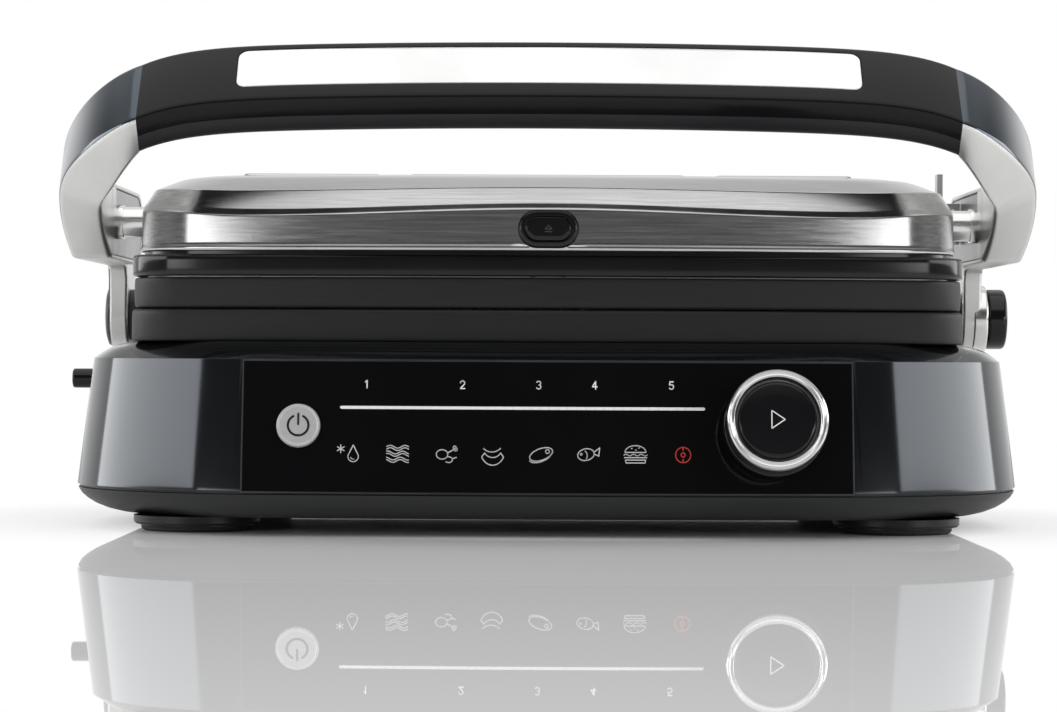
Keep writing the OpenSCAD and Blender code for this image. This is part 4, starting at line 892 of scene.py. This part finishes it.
# %% Grip shells and inlay
def inlay_block(name, hx, a0, a1, b0, b1, r, *args, **kwargs):
    far = [(x, a1) for x in [r - hx + (2 * hx - 2 * r) * i / 40 for i in range(39, 0, -1)]]
    near = [(x, a0) for x, _ in reversed(far)]
    outline = arc(hx - r, a1 - r, r, 0, 90, 8) + far + arc(r - hx, a1 - r, r, 90, 180, 8)
    outline += arc(r - hx, a0 + r, r, 180, 270, 8) + near + arc(hx - r, a0 + r, r, 270, 360, 8)
    points = [bar_point(x, a, b) for b in (b0, b1) for x, a in outline]
    return piece(name, points, loft_faces(len(outline), 2), *args, **kwargs)


INLAY_END = INLAY_EDGE + INLAY_A
upper_grip = bar_loft(
    "grip_upper_shell", BAR_X, 0, BAR_A, 0, BAR_B / 2 - 0.03, (2.4, 0.12, 0.12, 2.4),
    grip_black, "arms", "grip_black", ["grip_upper"])
inlay_bed = inlay_block(
    "cutter", INLAY_X + 0.25, INLAY_EDGE - 0.25, INLAY_END + 0.25, -3, 1.4, 4.2, *CUTTER)
carve(upper_grip, [inlay_bed])
bar_loft(
    "grip_lower_shell", BAR_X, 0.02, BAR_A - 0.02, BAR_B / 2 + 0.05, BAR_B, (0.12, 3.2, 3.2, 0.12),
    grip_under, "arms", "grip_black", ["grip_lower"])
inlay = inlay_block(
    "grip_bright_inlay", INLAY_X, INLAY_EDGE, INLAY_END, -0.05, 1.35, 4,
    inlay_metal, "arms", "trim_light", ["grip_inlay"])
round_edges(inlay, 0.5)
print("grip shells and inlay")

# %% [markdown]
# ## The arms
# Each arm is one casting. From the end of the bar it sweeps outwards and back in a quarter turn while
# its section turns upright, then runs level past the lid's pivot and drops to the hinge. The elbow is
# a loft along four corner lines. The outer face is polished dark, and the edges and the inside are satin.

# %% Elbow corner lines
ELBOW_START = [bar_point(BAR_X, a, b) for a, b in ((0, 0), (0, BAR_B), (BAR_A, BAR_B), (BAR_A, 0))]
IN_FRONT = ARM_X - ARM_THICK
ELBOW_END = [
    (x, ARM_FRONT, z) for x, z in ((ARM_X, ARM_Z0), (IN_FRONT, ARM_Z0), (IN_FRONT, ARM_Z1), (ARM_X, ARM_Z1))]
ELBOW_WAVES = [(5.5, 3, 2), (9, 3, 0), (7, 2, 0), (7, 2, 1)]
ELBOW_RADIUS, ELBOW_TAIL = 2.4, 14


def sweep_line(p, q, turn, dip, waves, bulge):
    """A quarter turn from p to q, lowered by a wave and pushed outwards by a bulge."""
    s, c = math.sin(turn), math.cos(turn)
    x = p[0] + (q[0] - p[0]) * s + bulge * math.sin(2 * turn)
    z = q[2] + (p[2] - q[2]) * c - dip * max(0.0, math.sin(waves * turn))
    return x, p[1] + (q[1] - p[1]) * (1 - c), z


def elbow_rings():
    rings = []
    for k in range(37):
        turn = math.pi / 2 * k / 36
        corners = [sweep_line(p, q, turn, *wave) for p, q, wave in zip(ELBOW_START, ELBOW_END, ELBOW_WAVES)]
        rings.append(rounded_section(corners, [ELBOW_RADIUS] * 4))
    rings.append([Vector((p.x, ARM_FRONT + ELBOW_TAIL, p.z)) for p in rings[-1]])
    return rings


print("elbow rings", len(elbow_rings()))

# %% Arm castings
def arm_profile():
    d0, heel, dh, throat = ARM_FRONT + 5, ARM_H - 1, HINGE_D - 14, HINGE_D - EYE_R
    return (
        [(d0, ARM_Z0), (throat - 6, ARM_Z0), (throat - 2, ARM_Z0 - 1.5), (throat, ARM_Z0 - 6)]
        + arc(HINGE_D, HINGE_Z, EYE_R, 180, 360, 28) + arc(dh, ARM_Z1 - heel, heel, 0, 90, 20) + [(d0, ARM_Z1)]
    )


def slab_across(name, profile, x0, x1, *args, **kwargs):
    points = [(x, d, z) for x in (x0, x1) for d, z in profile]
    return piece(name, points, loft_faces(len(profile), 2), *args, **kwargs)


def thick_profile(inset):
    """The long thick part inside an arm, with a round rear end, drawn in by an inset."""
    end, r = HINGE_D - EYE_R - 10 - ARM_H / 2, ARM_H / 2 - inset
    d0 = ARM_FRONT + inset
    return [(d0, PIVOT_Z - r)] + arc(end, PIVOT_Z, r, -90, 90, 20) + [(d0, PIVOT_Z + r)]


def polish(obj, wanted):
    """Gives the faces that are wanted the arm's dark polish."""
    obj.data.materials.append(arm_polish)
    for face in obj.data.polygons:
        if wanted(face):
            face.material_index = 1


SECTION_POINTS, OUTER_STRIPS = 20, (17, 18, 19, 0, 1)


def is_outer(face):
    return face.index % SECTION_POINTS in OUTER_STRIPS and len(face.vertices) == 4


def make_arm(side, name, cover_node):
    rings = [[(p.x * side, p.y, p.z) for p in ring] for ring in elbow_rings()]
    elbow = loft(f"{name}_elbow", rings, arm_satin, "arms", "arm_silver", [name], sharp=50)
    polish(elbow, is_outer)
    inner, outer = side * (ARM_X - ARM_T), side * (ARM_X - 0.03)
    blade = slab_across(f"{name}_blade", arm_profile(), inner, outer, arm_satin, "arms", "arm_silver")
    polish(blade, lambda face: face.normal.x * side > 0.9)
    root = side * (ARM_X - ARM_T + 1)
    boss = slab_across(f"{name}_boss", thick_profile(0), side * IN_FRONT, root, arm_satin, "arms", "arm_silver")
    bed = slab_across("cutter", thick_profile(1.6), side * (IN_FRONT - 2), side * (IN_FRONT + 2.8), *CUTTER)
    carve(boss, [bed])
    cover = slab_across(
        f"{name}_cover", thick_profile(1.8), side * (IN_FRONT + 0.5), side * (IN_FRONT + 2.6),
        cover_steel, "arms", "arm_silver", [cover_node])
    for part, width in ((blade, 1.6), (boss, 0.5), (cover, 0.5)):
        round_edges(part, width)


make_arm(-1, "arm_left", "arm_cover_left")
make_arm(1, "arm_right", "arm_cover_right")
print("arms cast")

# %% [markdown]
# ## Knob and ring of the right hinge
# A bright turned collar sits round the hinge and a black knob is pulled out of it to unlock the arms.

# %% Right hinge knob and collar
collar_place = side_axis(ARM_X - 3.8, HINGE_D, HINGE_Z)
collar_profile = [
    (4.6, 0), (14.6, 0), (15.4, 0.7), (15.5, 3.9), (15.5, 6.0), (15.2, 6.7), (14.3, 7.05), (4.6, 7.05)]
spin("hinge_bright_collar", collar_profile, collar_place, bright_pin, "arms", "bright_chrome",
     ["hinge_collar"], soft=0.2)
knob_profile = [
    (AXIS_R, -4), (4.4, -4), (4.4, 0.05), (13.2, 0.05), (13.8, 0.6), (13.8, 6.6), (13.5, 7.8),
    (12.4, 8.6), (6, 8.75), (AXIS_R, 8.75)]
spin("hinge_pull_knob", knob_profile, side_axis(PULL_KNOB_X, HINGE_D, HINGE_Z), knob_black, "hinge_knob",
     "knob_black", ["hinge_knob"], soft=0.25)
stub_profile = [(AXIS_R, 0), (3.4, 0), (4.1, 0.5), (4.2, 1.4), (4.2, 44), (AXIS_R, 44)]
spin("lower_release_stub", stub_profile, side_axis(-RELEASE_OUT, RELEASE_D, RELEASE_Z), knob_black,
     "lower_release", "knob_black", ["lower_release_button"], soft=0.25)
print("hinge knob, collar and release stub")

# %% [markdown]
# ## Finishes of the solids that stay
# The other solids have the right shape already. Each only gets its own finish.

# %% Finishes of the remaining solids
KEPT = {
    tray_black: ["feet", "tray_runners", "pivot_bushes", "drip_tray"],
    pad_rubber: ["foot_pads", "cord_gland"],
    trim_metal: ["panel_trim"],
    board_green: ["control_board", "power_board"],
    terminal_cream: ["terminal_block"],
    inner_steel: [
        "encoder_body", "lower_pan", "lid_pan", "lower_sensor", "upper_sensor", "lower_latch", "upper_latch",
        "base_screws", "bracket_screws", "grip_screws", "lid_screws", "lock_lever", "lock_pin"],
    heater_steel: ["lower_heater", "upper_heater"],
    bracket_paint: ["hinge_bracket_left", "hinge_bracket_right"],
    bright_pin: ["pivot_pin_left", "pivot_pin_right", "hinge_pin_left", "hinge_pin_right"],
    cap_dark: ["hinge_cap_left"],
}
for material, names in KEPT.items():
    for name in names:
        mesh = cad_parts[name].data
        mesh.materials.clear()
        mesh.materials.append(material)
print("solids that keep their shape:", sum(len(n) for n in KEPT.values()))

# %% [markdown]
# ## Studio
# The table mirrors the grill in front of it. The background is plain white for the camera; reflections
# see that white only straight behind the grill, less at the sides and overhead, and a dark room behind
# the camera, which keeps the black plastic black. The light comes from soft panels that the camera
# doesn't see: one above and two on each side. The large one draws the upright band on the base's corner
# and is kept off the lid's cover, as a studio flag does. The strip before it draws the bright patch on
# the lid's corner.

# %% World
world = bpy.data.worlds.new("studio")
scene.world = world
world.use_nodes = True
air = Graph(world.node_tree)
back = next(n for n in air.tree.nodes if n.type == "BACKGROUND")
heading = air.tree.nodes.new("ShaderNodeSeparateXYZ")
air.feed(heading, {0: air.add("ShaderNodeTexCoord", out="Generated")})
depth = Wire(air, heading.outputs["Y"])
rays = air.tree.nodes.new("ShaderNodeLightPath")
height = Wire(air, heading.outputs["Z"])
camera_ray, glossy_ray, clear_ray = (
    Wire(air, rays.outputs[f"Is {kind} Ray"]) for kind in ("Camera", "Glossy", "Transmission"))
seen = air.math("MAXIMUM", camera_ray, clear_ray)
behind = air.ramp(depth, -0.62, -0.1, 0.12, 0.25) * air.ramp(depth, 0.2, 0.8, 1.0, 4.0)
overhead = air.ramp(height, 0.4, 0.75, 0.0, 0.5)
backdrop = behind * air.ramp(height, 0.14, 0.36, 1.0, 0.55) + overhead
mirrored = glossy_ray * (1 - seen)
strength = seen + mirrored * backdrop + (1 - seen) * (1 - glossy_ray) * 0.5
air.feed(back, {"Color": (1, 1, 1), "Strength": strength})
print("world ready")

# %% Table top
def table_finish():
    f = Finish("pale_table", Base_Color=(0.92, 0.92, 0.92), Roughness=0.9)
    f.use(Specular_IOR_Level=0.0)
    out = next(n for n in f.tree.nodes if n.type == "OUTPUT_MATERIAL")
    glow = f.add("ShaderNodeEmission", None, {"Color": (1, 1, 1), "Strength": 1.0})
    shine = f.add("ShaderNodeBsdfGlossy", None, {"Color": (1, 1, 1), "Roughness": 0.01})
    camera_ray = f.add("ShaderNodeLightPath", out="Is Camera Ray")

    def oval_reach(x, y):
        return f.add("ShaderNodeVectorMath", {"operation": "LENGTH"}, {0: f.place(x, y, 0)}, out=1)

    def mix(share, first, second):
        return f.add("ShaderNodeMixShader", None, {0: share, 1: first, 2: second})

    reach, far = oval_reach(4.2, 5.4), oval_reach(2.2, 1.3)
    top = mix(camera_ray * f.ramp(reach, 0.78, 1.35, 0.0, 1.0), Wire(f, f.shader.outputs[0]), glow)
    mirror = f.add("ShaderNodeFresnel", None, {"IOR": 1.33}) * f.ramp(reach, 0.6, 0.85, 0.16, 0.86)
    f.feed(out, {0: mix(mirror * f.ramp(far, 1.0, 1.5, 1.0, 0.0), top, shine)})
    return f.material


corners = [(-6, -6, 0), (6, -6, 0), (6, 6, 0), (-6, 6, 0)]
table = piece("table_top", corners, [(0, 1, 2, 3)], table_finish(), None, None, metres=True)
table.location.z = -0.0002
print("table", [round(v, 1) for v in table.dimensions])

# %% Lamps
def panel_light(name, spot, target, wide, high, power, roll=0.0):
    lamp = bpy.data.lights.new(name, "AREA")
    lamp.shape, lamp.size, lamp.size_y, lamp.energy = "RECTANGLE", wide, high, power
    obj = bpy.data.objects.new(name, lamp)
    obj.location = spot
    turn = (Vector(target) - Vector(spot)).to_track_quat("-Z", "Y").to_matrix()
    obj.rotation_euler = (turn @ Matrix.Rotation(math.radians(roll), 3, "Z")).to_euler()
    obj.visible_camera = False
    scene.collection.objects.link(obj)
    return obj


panel_light("light_above", (0, -0.7, 1.6), (0, -0.7, 0), 2.2, 2.4, 12)
shaded = bpy.data.collections.new("shaded_from_the_sides")
shaded.objects.link(cover)
shaded.collection_objects[0].light_linking.link_state = "EXCLUDE"
LAMP_D, LARGE_Z, LARGE_ROLL, STRIP_Z = -0.1, 0.51, 9, 0.22
for side, word in ((-1, "left"), (1, "right")):
    spot, target = (side * 1.4, LAMP_D, LARGE_Z), (0, LAMP_D, LARGE_Z)
    large = panel_light(f"light_{word}", spot, target, 1.8, 0.6, 12, -LARGE_ROLL * side)
    large.light_linking.receiver_collection = shaded
    spot, target = (side * 1.07, -1.26, STRIP_Z), (side * 0.12, LAMP_D, STRIP_Z)
    panel_light(f"strip_{word}", spot, target, 0.62, 0.25, 1.9)
print("one panel above, two at each side")

# %% View settings
scene.view_settings.view_transform = "Standard"
bpy.context.view_layer.update()
